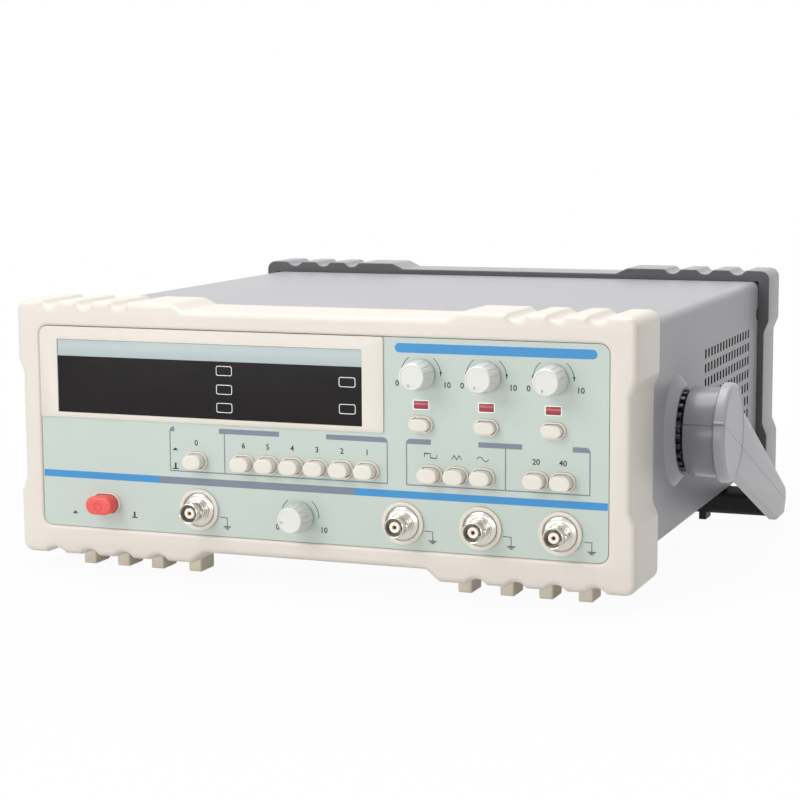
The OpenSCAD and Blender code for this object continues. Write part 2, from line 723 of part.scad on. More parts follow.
// Arm outline: a root round the axis, a tip, and a pad round the end of the grip
module arm_outline() {
  r = 4;
  tip = [arm_len + arm_end - arm_tip_r, 0];
  left = -grip_w / 2 - 3;
  low = -grip_h / 2 - 1.2;
  heel = [arm_len + (left + r) * cos(arm_drop) - (low + r) * sin(arm_drop),
    (left + r) * sin(arm_drop) + (low + r) * cos(arm_drop) - grip_sag];
  above = tangent(arm_root_r, tip, arm_tip_r, 1) * 0.999;
  below = tangent(arm_root_r, heel, r, -1) * 0.997;
  polygon([arm_root_r * above, tip + arm_tip_r * above, tip, [arm_len, -grip_sag], heel + r * below,
    arm_root_r * below]);
  circle(arm_root_r);
  translate(tip) circle(arm_tip_r);
  translate([arm_len, -grip_sag]) rotate(arm_drop) rrect(left, low, grip_w / 2 + 1, grip_h / 2, r);
}

// Frame with X along the stowed arm and Z outwards
module along_arm() dev() translate([0, axis_y, axis_z]) rotate([0, 0, 90]) rotate([90, 0, 0])
  rotate([0, 0, -arm_drop]) children();

module arm() along_arm() {
  translate([0, 0, cap_x]) linear_extrude(arm_t - cap_step) arm_outline();
  translate([0, 0, cap_x]) cylinder(r = cap_r, h = arm_t);
}

module arm_right() color("#B5B5B8") arm();
module arm_left() color("#B5B5B8") mirror([1, 0, 0]) arm();

// The grip lies level while the handle is stowed, with a pad near each end of its underside
module handle_grip() color("#3A3B3D") along_arm() translate([arm_len, -grip_sag, 0])
  rotate([0, 0, arm_drop]) {
    translate([0, 0, -cap_x]) linear_extrude(2 * cap_x)
      rrect(-grip_w / 2, -grip_h / 2, grip_w / 2, grip_h / 2, 4);
    for (s = [-1, 1]) translate([0.5 - grip_w / 2, -grip_h / 2 - 3.4, s * pad_x - 1.9])
      cube([12, 5.4, 3.8]);
  }

/* Knobs */

// Number in knobs, and its pointer's turn from straight down
module knob(i, a) dev() difference() {
  k = knobs[i];
  turned(k[0], k[1]) polygon([[0, -knob_proud], [knob_face_r - 0.8, -knob_proud],
    [knob_face_r, -knob_proud + 0.8], [knob_r, -0.8], [0, -0.8]]);
  turned(k[0], k[1], -3.3) square([nut_r + 0.4, 3]);
  turned(k[0], k[1], -knob_proud + 3) square([shaft_r + 0.02, knob_proud]);
  turned(k[0] - pointer_r * sin(a), k[1] - pointer_r * cos(a), -knob_proud - 1) square([0.55, 1.4]);
}

module shaft(k) dev() turned(k[0], k[1], -knob_proud + 3) square([shaft_r, knob_proud - 3 + pot_y + 5]);

module frequency_knob() color("#E4E4E0") knob(0, freq_pointer);
module symmetry_knob() color("#E4E4E0") knob(1, pointer);
module offset_knob() color("#E4E4E0") knob(2, pointer);
module amplitude_knob() color("#E4E4E0") knob(3, pointer);
module frequency_shaft() color("#B9BBBE") shaft(knobs[0]);
module symmetry_shaft() color("#B9BBBE") shaft(knobs[1]);
module offset_shaft() color("#B9BBBE") shaft(knobs[2]);
module amplitude_shaft() color("#B9BBBE") shaft(knobs[3]);

/* Keys */

module key(x, z, w, h, proud) dev() {
  slab(-proud, cap_back) obround(x, z, w, h);
  turned(x, z, cap_back - e) square([stem_r, stem_end - cap_back]);
}

module long_key(x) color("#E8E4DA") key(x, key_z, key_w, key_h, key_proud);
module level_key(x) color("#E8E4DA") key(x, panel_z + level_z, key_w, level_h, level_proud);

module power_key() color("#EE6060") key(-power_x, power_z, power_w, power_h, power_proud);
module external_key() long_key(-ext_x);
module range_key_1() long_key(range_xs[0]);
module range_key_2() long_key(range_xs[1]);
module range_key_3() long_key(range_xs[2]);
module range_key_4() long_key(range_xs[3]);
module range_key_5() long_key(range_xs[4]);
module range_key_6() long_key(range_xs[5]);
module wave_key_1() long_key(wave_xs[0]);
module wave_key_2() long_key(wave_xs[1]);
module wave_key_3() long_key(wave_xs[2]);
module atten_key_1() long_key(atten_xs[0]);
module atten_key_2() long_key(atten_xs[1]);
module level_key_1() level_key(level_xs[0]);
module level_key_2() level_key(level_xs[1]);
module level_key_3() level_key(level_xs[2]);

front_bezel();
control_panel();
panel_overlay();
display_window();
label_strip();
front_board();
digit_modules();
indicator_lenses();
top_cover();
bottom_plate();
rear_bezel();
rear_panel();
feet();
main_board();
screws();
transformer_core();
transformer_winding();
heatsink();
capacitors();
potentiometers();
switch_banks();
jack_shells();
jack_insulators();
jack_contacts();
panel_nuts();
mains_inlet();
inlet_pins();
detent_plates();
pivot_pins();
fuse_drawer();
fuse();
hub_left();
hub_right();
arm_left();
arm_right();
handle_grip();
frequency_knob();
symmetry_knob();
offset_knob();
amplitude_knob();
frequency_shaft();
symmetry_shaft();
offset_shaft();
amplitude_shaft();
power_key();
external_key();
range_key_1();
range_key_2();
range_key_3();
range_key_4();
range_key_5();
range_key_6();
wave_key_1();
wave_key_2();
wave_key_3();
atten_key_1();
atten_key_2();
level_key_1();
level_key_2();
level_key_3();
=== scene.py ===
"""Bench function generator: finishes and fine shapes, laid over the frame from the CAD model."""

import math

import bmesh
import bpy
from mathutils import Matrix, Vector
from mathutils.geometry import tessellate_polygon
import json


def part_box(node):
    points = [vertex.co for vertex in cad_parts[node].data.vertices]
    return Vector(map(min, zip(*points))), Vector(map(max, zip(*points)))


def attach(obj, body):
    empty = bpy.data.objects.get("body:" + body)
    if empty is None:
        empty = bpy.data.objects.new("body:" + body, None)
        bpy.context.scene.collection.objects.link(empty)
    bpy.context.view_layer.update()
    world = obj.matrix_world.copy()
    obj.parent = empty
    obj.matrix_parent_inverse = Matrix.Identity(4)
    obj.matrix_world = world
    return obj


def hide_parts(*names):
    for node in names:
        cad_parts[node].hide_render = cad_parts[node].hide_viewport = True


bl_info = {
    "name": "Function Generator",
    "version": (1, 0, 0),
    "blender": (4, 5, 0),
    "location": "View3D > Sidebar > Generator",
    "description": "Builds the visible parts of a bench function generator over its CAD frame",
    "category": "Object",
}

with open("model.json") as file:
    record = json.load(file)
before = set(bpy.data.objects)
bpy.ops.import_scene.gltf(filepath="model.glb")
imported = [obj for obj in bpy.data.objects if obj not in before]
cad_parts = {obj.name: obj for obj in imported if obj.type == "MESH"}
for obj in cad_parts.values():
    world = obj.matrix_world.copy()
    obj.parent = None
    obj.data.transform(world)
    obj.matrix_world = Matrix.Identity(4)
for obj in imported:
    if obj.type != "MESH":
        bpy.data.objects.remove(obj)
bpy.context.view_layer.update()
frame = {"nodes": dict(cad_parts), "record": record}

MM = 0.001
PANEL_Y = (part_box("front_bezel")[0][1] + 1.0 * MM) / MM  # the panel face, in mm
BAR_Z = 49.4  # top edge of the long printed bar above the floor
VENTS = (162.0, 268.5)  # first and last column of vents behind the panel face
VENT_PITCH = 7.1
AXIS = (100.0, 68.4)  # handle axis behind the panel face and above the floor
PARTING = (0.0, 0.3628, 0.9319)  # across the mould's parting plane in the stowed handle
PARTING_MM = 41.2  # from the origin to that plane


# ---------------------------------------------------------------- colours and materials


def linear(hex_colour):
    """An sRGB hex colour as linear RGBA."""
    parts = [int(hex_colour[i : i + 2], 16) / 255 for i in (1, 3, 5)]
    return (*[c / 12.92 if c <= 0.04045 else ((c + 0.055) / 1.055) ** 2.4 for c in parts], 1.0)


def add(tree, kind, links=None, **settings):
    """Adds a node, sets its inputs and properties, and links sockets to its inputs."""
    made = tree.nodes.new(kind)
    for key, value in settings.items():
        if key in made.inputs:
            made.inputs[key].default_value = value
        else:
            setattr(made, key, value)
    for name, socket in (links or {}).items():
        tree.links.new(socket, made.inputs[name])
    return made


def surface(name, colour, roughness, metallic=0.0, coat=0.0, ior=1.5):
    """A new material with one Principled shader, and that shader."""
    made = bpy.data.materials.new(name)
    made.use_nodes = True
    tree = made.node_tree
    tree.nodes.clear()
    out = tree.nodes.new("ShaderNodeOutputMaterial")
    shader = tree.nodes.new("ShaderNodeBsdfPrincipled")
    shader.inputs["Base Color"].default_value = linear(colour)
    shader.inputs["Roughness"].default_value = roughness
    shader.inputs["Metallic"].default_value = metallic
    shader.inputs["Coat Weight"].default_value = coat
    if not metallic:
        shader.inputs["IOR"].default_value = ior
    tree.links.new(shader.outputs[0], out.inputs[0])
    made.diffuse_color = linear(colour)
    return made, tree, shader


def position(tree):
    return add(tree, "ShaderNodeTexCoord").outputs["Object"]


def ramp(tree, value, low, high, start, end):
    """Maps a value from low..high to start..end, clamped."""
    made = add(tree, "ShaderNodeMapRange", {"Value": value})
    for key, number in {"From Min": low, "From Max": high, "To Min": start, "To Max": end}.items():
        made.inputs[key].default_value = number
    return made.outputs[0]


def textured(name, colour, roughness, grain_mm, depth, tone=0.03, gloss=0.05, **more):
    """Moulded or coated surface: a grain of a real size in the bump, gloss and tone, and faint wear."""
    made, tree, shader = surface(name, colour, roughness, **more)
    where = position(tree)
    grain = add(tree, "ShaderNodeTexNoise", {"Vector": where}, Scale=1 / (grain_mm * MM), Detail=3.0)
    cloud = add(tree, "ShaderNodeTexNoise", {"Vector": where}, Scale=1 / (60 * MM), Detail=4.0)
    bump = add(tree, "ShaderNodeBump", {"Height": grain.outputs["Fac"]}, Strength=0.35, Distance=depth * MM)
    tree.links.new(bump.outputs[0], shader.inputs["Normal"])
    tint = add(tree, "ShaderNodeVectorMath", operation="SCALE")
    tint.inputs[0].default_value = linear(colour)[:3]
    shade = ramp(tree, cloud.outputs["Fac"], 0.3, 0.7, 1 - tone, 1 + tone * 0.4)
    tree.links.new(shade, tint.inputs["Scale"])
    tree.links.new(tint.outputs[0], shader.inputs["Base Color"])
    rough = ramp(tree, grain.outputs["Fac"], 0.3, 0.7, roughness - gloss, roughness + gloss)
    tree.links.new(rough, shader.inputs["Roughness"])
    return made


def metal(name, colour, roughness, streak_mm=0.5, axis="Z"):
    """Plated or brushed metal: fine streaks across one axis, with a slight change of gloss."""
    made, tree, shader = surface(name, colour, roughness, metallic=1.0)
    stretch = {"X": (0.04, 1, 1), "Y": (1, 0.04, 1), "Z": (1, 1, 0.04)}[axis]
    turned = add(tree, "ShaderNodeMapping", {"Vector": position(tree)}, Scale=stretch)
    size = 1 / (streak_mm * MM)
    streak = add(tree, "ShaderNodeTexNoise", {"Vector": turned.outputs[0]}, Scale=size, Detail=2.0)
    rough = ramp(tree, streak.outputs["Fac"], 0, 1, roughness * 0.7, roughness * 1.4)
    tree.links.new(rough, shader.inputs["Roughness"])
    bump = add(tree, "ShaderNodeBump", {"Height": streak.outputs["Fac"]}, Strength=0.06, Distance=0.02 * MM)
    tree.links.new(bump.outputs[0], shader.inputs["Normal"])
    return made


FINISH = {}

# Finish, material, colour, roughness, grain and its depth in mm, change of tone
MOULDED = (
    ("cream_abs", "moulded_cream_abs", "#DAD2C8", 0.36, 0.5, 0.03),
    ("panel_abs", "moulded_pale_cream_abs", "#DBD4CA", 0.4, 0.5, 0.02),
    ("grey_abs", "moulded_grey_abs", "#8E8D90", 0.34, 0.5, 0.03),
    # painted shade: a darker grey for the rear bezel's forward-facing faces, standing in for the shade on
    # them
    ("shadow_grey", "painted_shade_rear_lip_grey", "#4C4C4E", 0.5, 0.5, 0.03),
    # painted shade: near black for the side walls of the vent slots, in place of the shade inside the vents
    ("vent_wall_painted_shade", "painted_shade_on_vent_walls", "#2B2B2C", 0.5, 0.5, 0.02),
    # painted light: the feet's colour is lighter than the rubber's own, standing in for light under the case
    ("foot_rubber_painted_light", "beige_rubber_painted_light", "#F6ECD8", 0.6, 0.8, 0.05),
    ("overlay_film", "velvet_polycarbonate_film", "#BCC7C0", 0.5, 0.35, 0.02, 0.02),
    ("strip_film", "printed_film_pale_green", "#AFBCBC", 0.35, 0.35, 0.01),
    ("key_abs", "moulded_ivory_key_abs", "#DCD7CC", 0.42, 0.3, 0.015, 0.015),
    ("knob_abs", "moulded_white_knob_abs", "#D9D9D4", 0.42, 0.3, 0.015, 0.015),
    # painted shade: a darker disc inside each pointer dimple
    ("knob_hollow", "painted_shade_in_knob_dimple", "#A9A7A0", 0.5, 0.3, 0.01),
    ("power_abs", "moulded_red_key_abs", "#E45450", 0.34, 0.3, 0.012, 0.02),
    # painted shade: a darker red for the power key's mark, in place of the shade of its relief
    ("power_shade", "red_key_sign_painted_shade", "#C04846", 0.4, 0.3, 0.012, 0.02),
    ("ptfe", "turned_ptfe", "#F1EFEA", 0.5, 0.3, 0.01),
    ("hub_nylon", "moulded_grey_nylon_hub", "#85848A", 0.24, 0.6, 0.04),
    ("arm_abs", "moulded_satin_arm_abs", "#A6A6AA", 0.32, 0.5, 0.03),
    ("black_nylon", "moulded_black_nylon", "#1A1A1B", 0.4, 0.5, 0.03),
    ("inlet_black", "moulded_black_phenolic", "#1D1E20", 0.35, 0.5, 0.02),
    ("solder_mask", "green_solder_mask", "#2E6B4A", 0.35, 2.0, 0.02),
    ("digit_epoxy", "red_display_epoxy", "#3A1418", 0.25, 0.8, 0.01),
    ("core_varnish", "varnished_core_steel", "#55575C", 0.4, 0.5, 0.05),
    ("coil_tape", "polyester_coil_tape", "#C08F3C", 0.35, 1.5, 0.03),
    ("can_sleeve", "sleeved_capacitor", "#27345A", 0.25, 1.0, 0.01),
    ("switch_nylon", "moulded_switch_nylon", "#3C3F45", 0.45, 0.6, 0.02),
)
INKS = {"blue": "#2F88C2", "grey": "#757C8B", "black": "#1E2222", "white": "#F4F4F0"}


def finishes():
    """Every finish of the instrument, named for its material and how it was made."""
    for key, *look in MOULDED:
        FINISH[key] = textured(*look)
    for ink, colour in INKS.items():
        FINISH["ink_" + ink] = textured("screen_ink_" + ink, colour, 0.45, 0.35, 0.01)
    # A slight orange peel under a satin film
    coat = textured("powder_coated_steel", "#A0A0A4", 0.36, 1.1, 0.04, tone=0.02, ior=1.28)
    FINISH["powder_coat"] = coat
    # The grip is near black, darker than the black nylon parts
    FINISH["grip_near_black"] = textured("near_black_grip", "#0A0A0A", 0.5, 0.8, 0.05, ior=1.3)
    # Smoked acrylic: almost black, with a polished face
    made, tree, shader = surface("smoked_acrylic", "#141011", 0.14, ior=1.3)
    dust = add(tree, "ShaderNodeTexNoise", {"Vector": position(tree)}, Scale=1 / (9 * MM), Detail=6.0)
    tree.links.new(ramp(tree, dust.outputs["Fac"], 0, 1, 0.09, 0.18), shader.inputs["Roughness"])
    FINISH["smoked_acrylic"] = made
    FINISH["lens_red"] = textured("moulded_red_acrylic", "#9C2B36", 0.2, 0.6, 0.01, coat=0.4)
    # Nickel on brass: bright, with turning marks round the barrel
    FINISH["nickel"] = metal("nickel_plated_brass", "#D2CEC6", 0.16, 0.6, "X")
    FINISH["bore_nickel"] = textured("nickel_plated_bore", "#B8AFA2", 0.3, 0.4, 0.01, metallic=0.6)
    FINISH["steel"] = metal("plated_steel", "#B5B7BA", 0.28, 0.8, "Z")
    FINISH["zinc_sheet"] = metal("zinc_plated_sheet", "#B9BBBD", 0.35, 1.5, "Y")
    FINISH["gold"] = metal("gold_plated_contact", "#C98F3C", 0.25, 0.3, "Y")
    FINISH["alloy"] = metal("extruded_aluminium", "#A4A7AB", 0.35, 0.6, "Z")
    # Hubs and arms come from moulds that part along the middle of the arm
    for key in ("hub_nylon", "arm_abs"):
        scored(FINISH[key], PARTING, PARTING_MM)
    made, tree, shader = surface("fuse_glass_tube", "#E8EEEE", 0.05, ior=1.5)
    shader.inputs["Transmission Weight"].default_value = 0.85
    haze = add(tree, "ShaderNodeTexNoise", {"Vector": position(tree)}, Scale=1 / (2 * MM))
    tree.links.new(ramp(tree, haze.outputs["Fac"], 0, 1, 0.03, 0.1), shader.inputs["Roughness"])
    FINISH["fuse_glass"] = made


def scored(made, normal, offset):
    """Draws a mould's parting line where a plane (unit normal, mm from the origin) cuts the surface."""
    tree = made.node_tree
    shader = next(n for n in tree.nodes if n.type == "BSDF_PRINCIPLED")
    across = add(tree, "ShaderNodeVectorMath", {0: position(tree)}, operation="DOT_PRODUCT")
    across.inputs[1].default_value = normal
    away = add(tree, "ShaderNodeMath", {0: across.outputs["Value"]}, operation="SUBTRACT")
    away.inputs[1].default_value = offset * MM
    gap = add(tree, "ShaderNodeMath", {0: away.outputs[0]}, operation="ABSOLUTE")
    line = ramp(tree, gap.outputs[0], 0.1 * MM, 0.4 * MM, 0.0, 1.0)
    tint = shader.inputs["Base Color"].links[0].from_socket
    shade = add(tree, "ShaderNodeVectorMath", {0: tint}, operation="SCALE")
    tree.links.new(ramp(tree, line, 0.0, 1.0, 0.5, 1.0), shade.inputs["Scale"])
    tree.links.new(shade.outputs[0], shader.inputs["Base Color"])
    groove = add(tree, "ShaderNodeBump", {"Height": line}, Strength=0.5, Distance=0.2 * MM)
    tree.links.new(shader.inputs["Normal"].links[0].from_socket, groove.inputs["Normal"])
    tree.links.new(groove.outputs[0], shader.inputs["Normal"])
    return made


# ---------------------------------------------------------------- mesh helpers


def piece(name, verts, faces, finish, body="case", sharp=35, slot=None, replaces=()):
    """A mesh piece from points in mm (X, Y from the panel face, Z), riding on a body."""
    mesh = bpy.data.meshes.new(name)
    mesh.from_pydata([(x * MM, (y + PANEL_Y) * MM, z * MM) for x, y, z in verts], [], faces)
    return settle(name, mesh, finish, body, sharp, replaces)


def settle(name, mesh, finish, body, sharp=35, replaces=(), bevel=0.0, segments=2):
    """Cleans a mesh, rounds its edges by bevel (mm), and puts it on its body with a finish."""
    work = bmesh.new()
    work.from_mesh(mesh)
    bmesh.ops.remove_doubles(work, verts=work.verts, dist=1e-6)
    bmesh.ops.recalc_face_normals(work, faces=work.faces)
    work.to_mesh(mesh)
    work.free()
    obj = bpy.data.objects.new(name, mesh)
    bpy.context.scene.collection.objects.link(obj)
    if bevel:
        edge = obj.modifiers.new("edge", "BEVEL")
        edge.width = bevel * MM
        edge.segments = segments
        edge.limit_method = "ANGLE"
        edge.angle_limit = math.radians(35)
        bpy.context.view_layer.update()
        graph = bpy.context.evaluated_depsgraph_get()
        obj.data = bpy.data.meshes.new_from_object(obj.evaluated_get(graph))
        obj.modifiers.clear()
    for polygon in obj.data.polygons:
        polygon.use_smooth = True
    obj.data.set_sharp_from_angle(angle=math.radians(sharp))
    obj.data.materials.clear()
    obj.data.materials.append(FINISH[finish])
    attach(obj, body)
    if replaces:
        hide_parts(*replaces)
    return obj


def arc(cx, cz, r, start, end, steps):
    """Points on an arc, angles in degrees, both ends included."""
    turns = [math.radians(start + (end - start) * i / steps) for i in range(steps + 1)]
    return [(cx + r * math.cos(a), cz + r * math.sin(a)) for a in turns]


def rounded_rect(x0, z0, x1, z1, r, steps=8):
    """Anticlockwise outline from the lower left corner."""
    return (
        arc(x0 + r, z0 + r, r, 180, 270, steps)
        + arc(x1 - r, z0 + r, r, 270, 360, steps)
        + arc(x1 - r, z1 - r, r, 0, 90, steps)
        + arc(x0 + r, z1 - r, r, 90, 180, steps)
    )


def obround(x, z, w, h, steps=14):
    """A bar with round ends, centred on (x, z)."""
    r = h / 2
    return arc(x + w / 2 - r, z, r, -90, 90, steps) + arc(x - w / 2 + r, z, r, 90, 270, steps)


def circle(x, z, r, steps=48):
    return arc(x, z, r, 0, 360, steps)[:-1]


def dense(points, step):
    """The closed outline with points at an even step."""
    out = []
    for i, a in enumerate(points):
        b = points[(i + 1) % len(points)]
        n = max(1, round(math.dist(a, b) / step))
        out += [(a[0] + (b[0] - a[0]) * k / n, a[1] + (b[1] - a[1]) * k / n) for k in range(n)]
    return out


def softened(points, passes):
    """The closed outline with its corners eased."""
    for _ in range(passes):
        trios = zip(points[-1:] + points[:-1], points, points[1:] + points[:1])
        points = [tuple((a + 2 * b + c) / 4 for a, b, c in zip(*trio)) for trio in trios]
    return points


def inset(points, d):
    """An anticlockwise outline moved in by d (out when d is negative)."""
    out = []
    n = len(points)
    for i in range(n):
        (ax, az), (bx, bz) = points[i - 1], points[(i + 1) % n]
        length = math.hypot(bx - ax, bz - az) or 1
        out.append((points[i][0] - (bz - az) / length * d, points[i][1] + (bx - ax) / length * d))
    return out


class Shell:
    """Rings of points joined by walls, and flat faces filled between loops."""

    def __init__(self):
        self.verts = []
        self.faces = []

    def ring(self, outline, y):
        start = len(self.verts)
        self.verts += [(x, y, z) for x, z in outline]
        return list(range(start, len(self.verts)))

    def wall(self, a, b):
        n = len(a)
        self.faces += [(a[i], a[(i + 1) % n], b[(i + 1) % n], b[i]) for i in range(n)]

    def fill(self, *loops):
        """Fills the first loop, except for the loops after it."""
        flat = [[Vector((self.verts[i][0], self.verts[i][2], 0)) for i in loop] for loop in loops]
        order = [i for loop in loops for i in loop]
        self.faces += [tuple(order[k] for k in triangle) for triangle in tessellate_polygon(flat)]

    def dome(self, outline, y, r, steps=4, sign=1, inwards=1):
        """Rings from a face at y round its edge. Sign 1: a front face. Inwards -1: the edge of a hole."""
        rings = []
        for k in range(steps + 1):
            t = math.pi / 2 * k / steps
            moved = inset(outline, inwards * r * (1 - math.sin(t)))
            rings.append(self.ring(moved, y + sign * r * (1 - math.cos(t))))
        for a, b in zip(rings, rings[1:]):
            self.wall(a, b)
        return rings

    def parts(self):
        return self.verts, self.faces


def block(outline, y0, y1, front=0.0, back=0.0, holes=(), steps=3):
    """A solid with this outline from y0 back to y1, its front and back edges rounded."""
    shell = Shell()
    if front:
        rings = shell.dome(outline, y0, front, steps)
        first, side = rings[0], rings[-1]
    else:
        first = side = shell.ring(outline, y0)
    if back:
        rings = shell.dome(outline, y1, back, steps, -1)
        last, end = rings[0], rings[-1]
    else:
        last = end = shell.ring(outline, y1)
    shell.wall(side, end)
    fronts, backs = [], []
    for hole in holes:
        a, b = shell.ring(hole, y0), shell.ring(hole, y1)
        shell.wall(b, a)
        fronts.append(a)
        backs.append(b)
    shell.fill(first, *fronts)
    shell.fill(last, *backs)
    return shell


def join(parts):
    """One set of points and faces from several."""
    verts, faces = [], []
    for more, sides in parts:
        base = len(verts)
        verts += more
        faces += [tuple(i + base for i in side) for side in sides]
    return verts, faces


def lathe(profile, centre, axis="Y", steps=64, wobble=None):
    """Points (r, distance) turned about an axis through centre; wobble changes r by angle and distance."""
    verts, faces = [], []
    n = len(profile)
    for k in range(steps):
        a = 2 * math.pi * k / steps
        for r, d in profile:
            rr = r + (wobble(a, r, d) if wobble else 0)
            if axis == "Y":
                verts.append((centre[0] + rr * math.cos(a), centre[1] + d, centre[2] + rr * math.sin(a)))
            else:
                verts.append((centre[0] + d, centre[1] + rr * math.cos(a), centre[2] + rr * math.sin(a)))
    for k in range(steps):
        j = (k + 1) % steps
        for i in range(n - 1):
            faces.append((k * n + i, k * n + i + 1, j * n + i + 1, j * n + i))
    return verts, faces


def refined(node, finish, body="case", bevel=0.0, sharp=35, segments=2, name=None, move=None):
    """A copy of a CAD node with its edges softened; move changes a point (X, Y from the panel, Z)."""
    source = frame["nodes"][node]
    points = [source.matrix_world @ v.co / MM for v in source.data.vertices]
    if move:
        points = [Vector((0, PANEL_Y, 0)) + Vector(move(x, y - PANEL_Y, z)) for x, y, z in points]
    mesh = bpy.data.meshes.new(node)
    mesh.from_pydata([p * MM for p in points], [], [tuple(p.vertices) for p in source.data.polygons])
    name = name or node + "_finish"
    return settle(name, mesh, finish, body, sharp, (node,), bevel, segments)


def second(obj, finish, chosen):
    """Gives the faces for which chosen(centre in mm with Y from the panel, normal) holds another finish."""
    obj.data.materials.append(FINISH[finish])
    for polygon in obj.data.polygons:
        x, y, z = polygon.center / MM
        if chosen((x, y - PANEL_Y, z), polygon.normal):
            polygon.material_index = 1


def dress(node, finish):
    """A CAD node that keeps its own shape, with a finish."""
    obj = frame["nodes"][node]
    obj.data.materials.clear()
    obj.data.materials.append(FINISH[finish])


# ---------------------------------------------------------------- settings


def length(name, description, default):
    """A size in mm that a user can change."""
    return bpy.props.FloatProperty(name=name, description=description + ", mm", default=default, min=0)


class CaseSettings(bpy.types.PropertyGroup):
    scoop_pitch: length("Scoop pitch", "Distance between the finger scoops", 18.7)
    scoop_edge: length("First scoop", "From the bezel's side to the first scoop", 18.3)
    scoop_radius: length("Scoop radius", "Radius of a scoop", 5.5)
    scoop_depth: length("Scoop depth", "Depth of a scoop", 2.6)
    corner: length("Corner radius", "Outer corners of the bezels", 5.0)
    edge: length("Edge rounding", "Rounding of a bezel's outer edge", 3.0)
    ring_top: length("Ring top", "Radius of the pressed ring at its top", 24.6)


class PanelSettings(bpy.types.PropertyGroup):
    print_height: length("Print height", "How far the ink stands off the film", 0.04)
    line: length("Line width", "Width of a printed frame line", 0.55)
    knob_ribs: bpy.props.IntProperty(name="Knob ribs", description="Ribs round a knob", default=14, min=3)


class HandleSettings(bpy.types.PropertyGroup):
    drop: bpy.props.FloatProperty(
        name="Drop",
        description="Stowed arm below the horizontal",
        subtype="ANGLE",
        default=math.radians(22.1),
    )
    tip_distance: length("Tip", "Axis to the tip's centre", 144.1)
    tip_radius: length("Tip radius", "Half height of the tip", 7.5)
    root_radius: length("Root radius", "Half height at the cap", 17.7)
    cap_radius: length("Cap radius", "Radius of the cap", 24.0)
    cap_step: length("Cap step", "Cap face proud of the arm", 0.5)
    arm_round: length("Arm rounding", "Outer edge of the arm", 1.8)
    teeth: bpy.props.IntProperty(name="Teeth", description="Click teeth at each hub", default=24, min=3)
    teeth_radius: length("Teeth radius", "Axis to the middle of a tooth", 18.6)


class StageSettings(bpy.types.PropertyGroup):
    camera_place: bpy.props.FloatVectorProperty(
        name="Camera",
        description="Camera position",
        subtype="TRANSLATION",
        default=(0.3802, -1.0334, 0.2166),
    )
    camera_turn: bpy.props.FloatVectorProperty(
        name="Camera turn",
        description="Camera rotation",
        subtype="EULER",
        default=[math.radians(a) for a in (82.396, 0.320, 20.916)],
    )
    lens: bpy.props.FloatProperty(
        name="Lens", description="Focal length on a 36 mm sensor", unit="CAMERA", default=93.87
    )


# Recesses of a bezel's outline, mm: half widths at their bottom and top, and depth
BASE_RECESS = (56, 62.5, 5.4)
TOP_RECESS = (66, 72.5, 3.2)
SIDE_RECESS = (38.5, 45, 97, 103.5)  # heights of its corners
SIDE_DEPTH = 2.6

def bezel_outline(lo, hi, s):
    """Anticlockwise outline of both bezels, from the CAD box of one (mm)."""
    x1, z0, z1 = hi[0], lo[2], hi[2]
    r, dip = s.scoop_radius, s.scoop_depth
    half = math.degrees(math.acos((r - dip) / r))
    xs = [x1 - s.scoop_edge - i * s.scoop_pitch for i in range(4)]
    low = [arc(x, z0 + dip - r, r, 90 + half, 90 - half, 10) for x in xs]
    top = [arc(x, z1 - dip + r, r, 270 + half, 270 - half, 10) for x in xs[:3]]
    points = []
    # underside, left to right
    points += arc(-x1 + s.corner, z0 + s.corner, s.corner, 180, 270, 6)
    for one in low:
        points += [(-x, z) for x, z in one[::-1]]
    narrow, wide, deep = BASE_RECESS
    points += [(-wide, z0), (-narrow, z0 + deep), (narrow, z0 + deep), (wide, z0)]
    for one in low[::-1]:
        points += one
    points += arc(x1 - s.corner, z0 + s.corner, s.corner, 270, 360, 6)
    right = [(x1 - d, z) for d, z in zip((0, SIDE_DEPTH, SIDE_DEPTH, 0), SIDE_RECESS)]
    points += right
    points += arc(x1 - s.corner, z1 - s.corner, s.corner, 0, 90, 6)
    for one in top:
        points += one
    narrow, wide, deep = TOP_RECESS
    points += [(wide, z1), (narrow, z1 - deep), (-narrow, z1 - deep), (-wide, z1)]
    for one in top[::-1]:
        points += [(-x, z) for x, z in one[::-1]]
    points += arc(-x1 + s.corner, z1 - s.corner, s.corner, 90, 180, 6)
    points += [(-x, z) for x, z in right[::-1]]
    return softened(dense(points, 0.5), 3)


def mm_box(node):
    """A node's CAD corners in mm, with Y from the panel face."""
    return [[x / MM, y / MM - PANEL_Y, z / MM] for x, y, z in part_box(node)]


POCKET_X = 148.9  # half width of the pocket that takes the cover
OPENING = (-142.5, 22, 142.5, 120)  # of both bezels
LIP = 3.3  # depth of the front bezel's lip


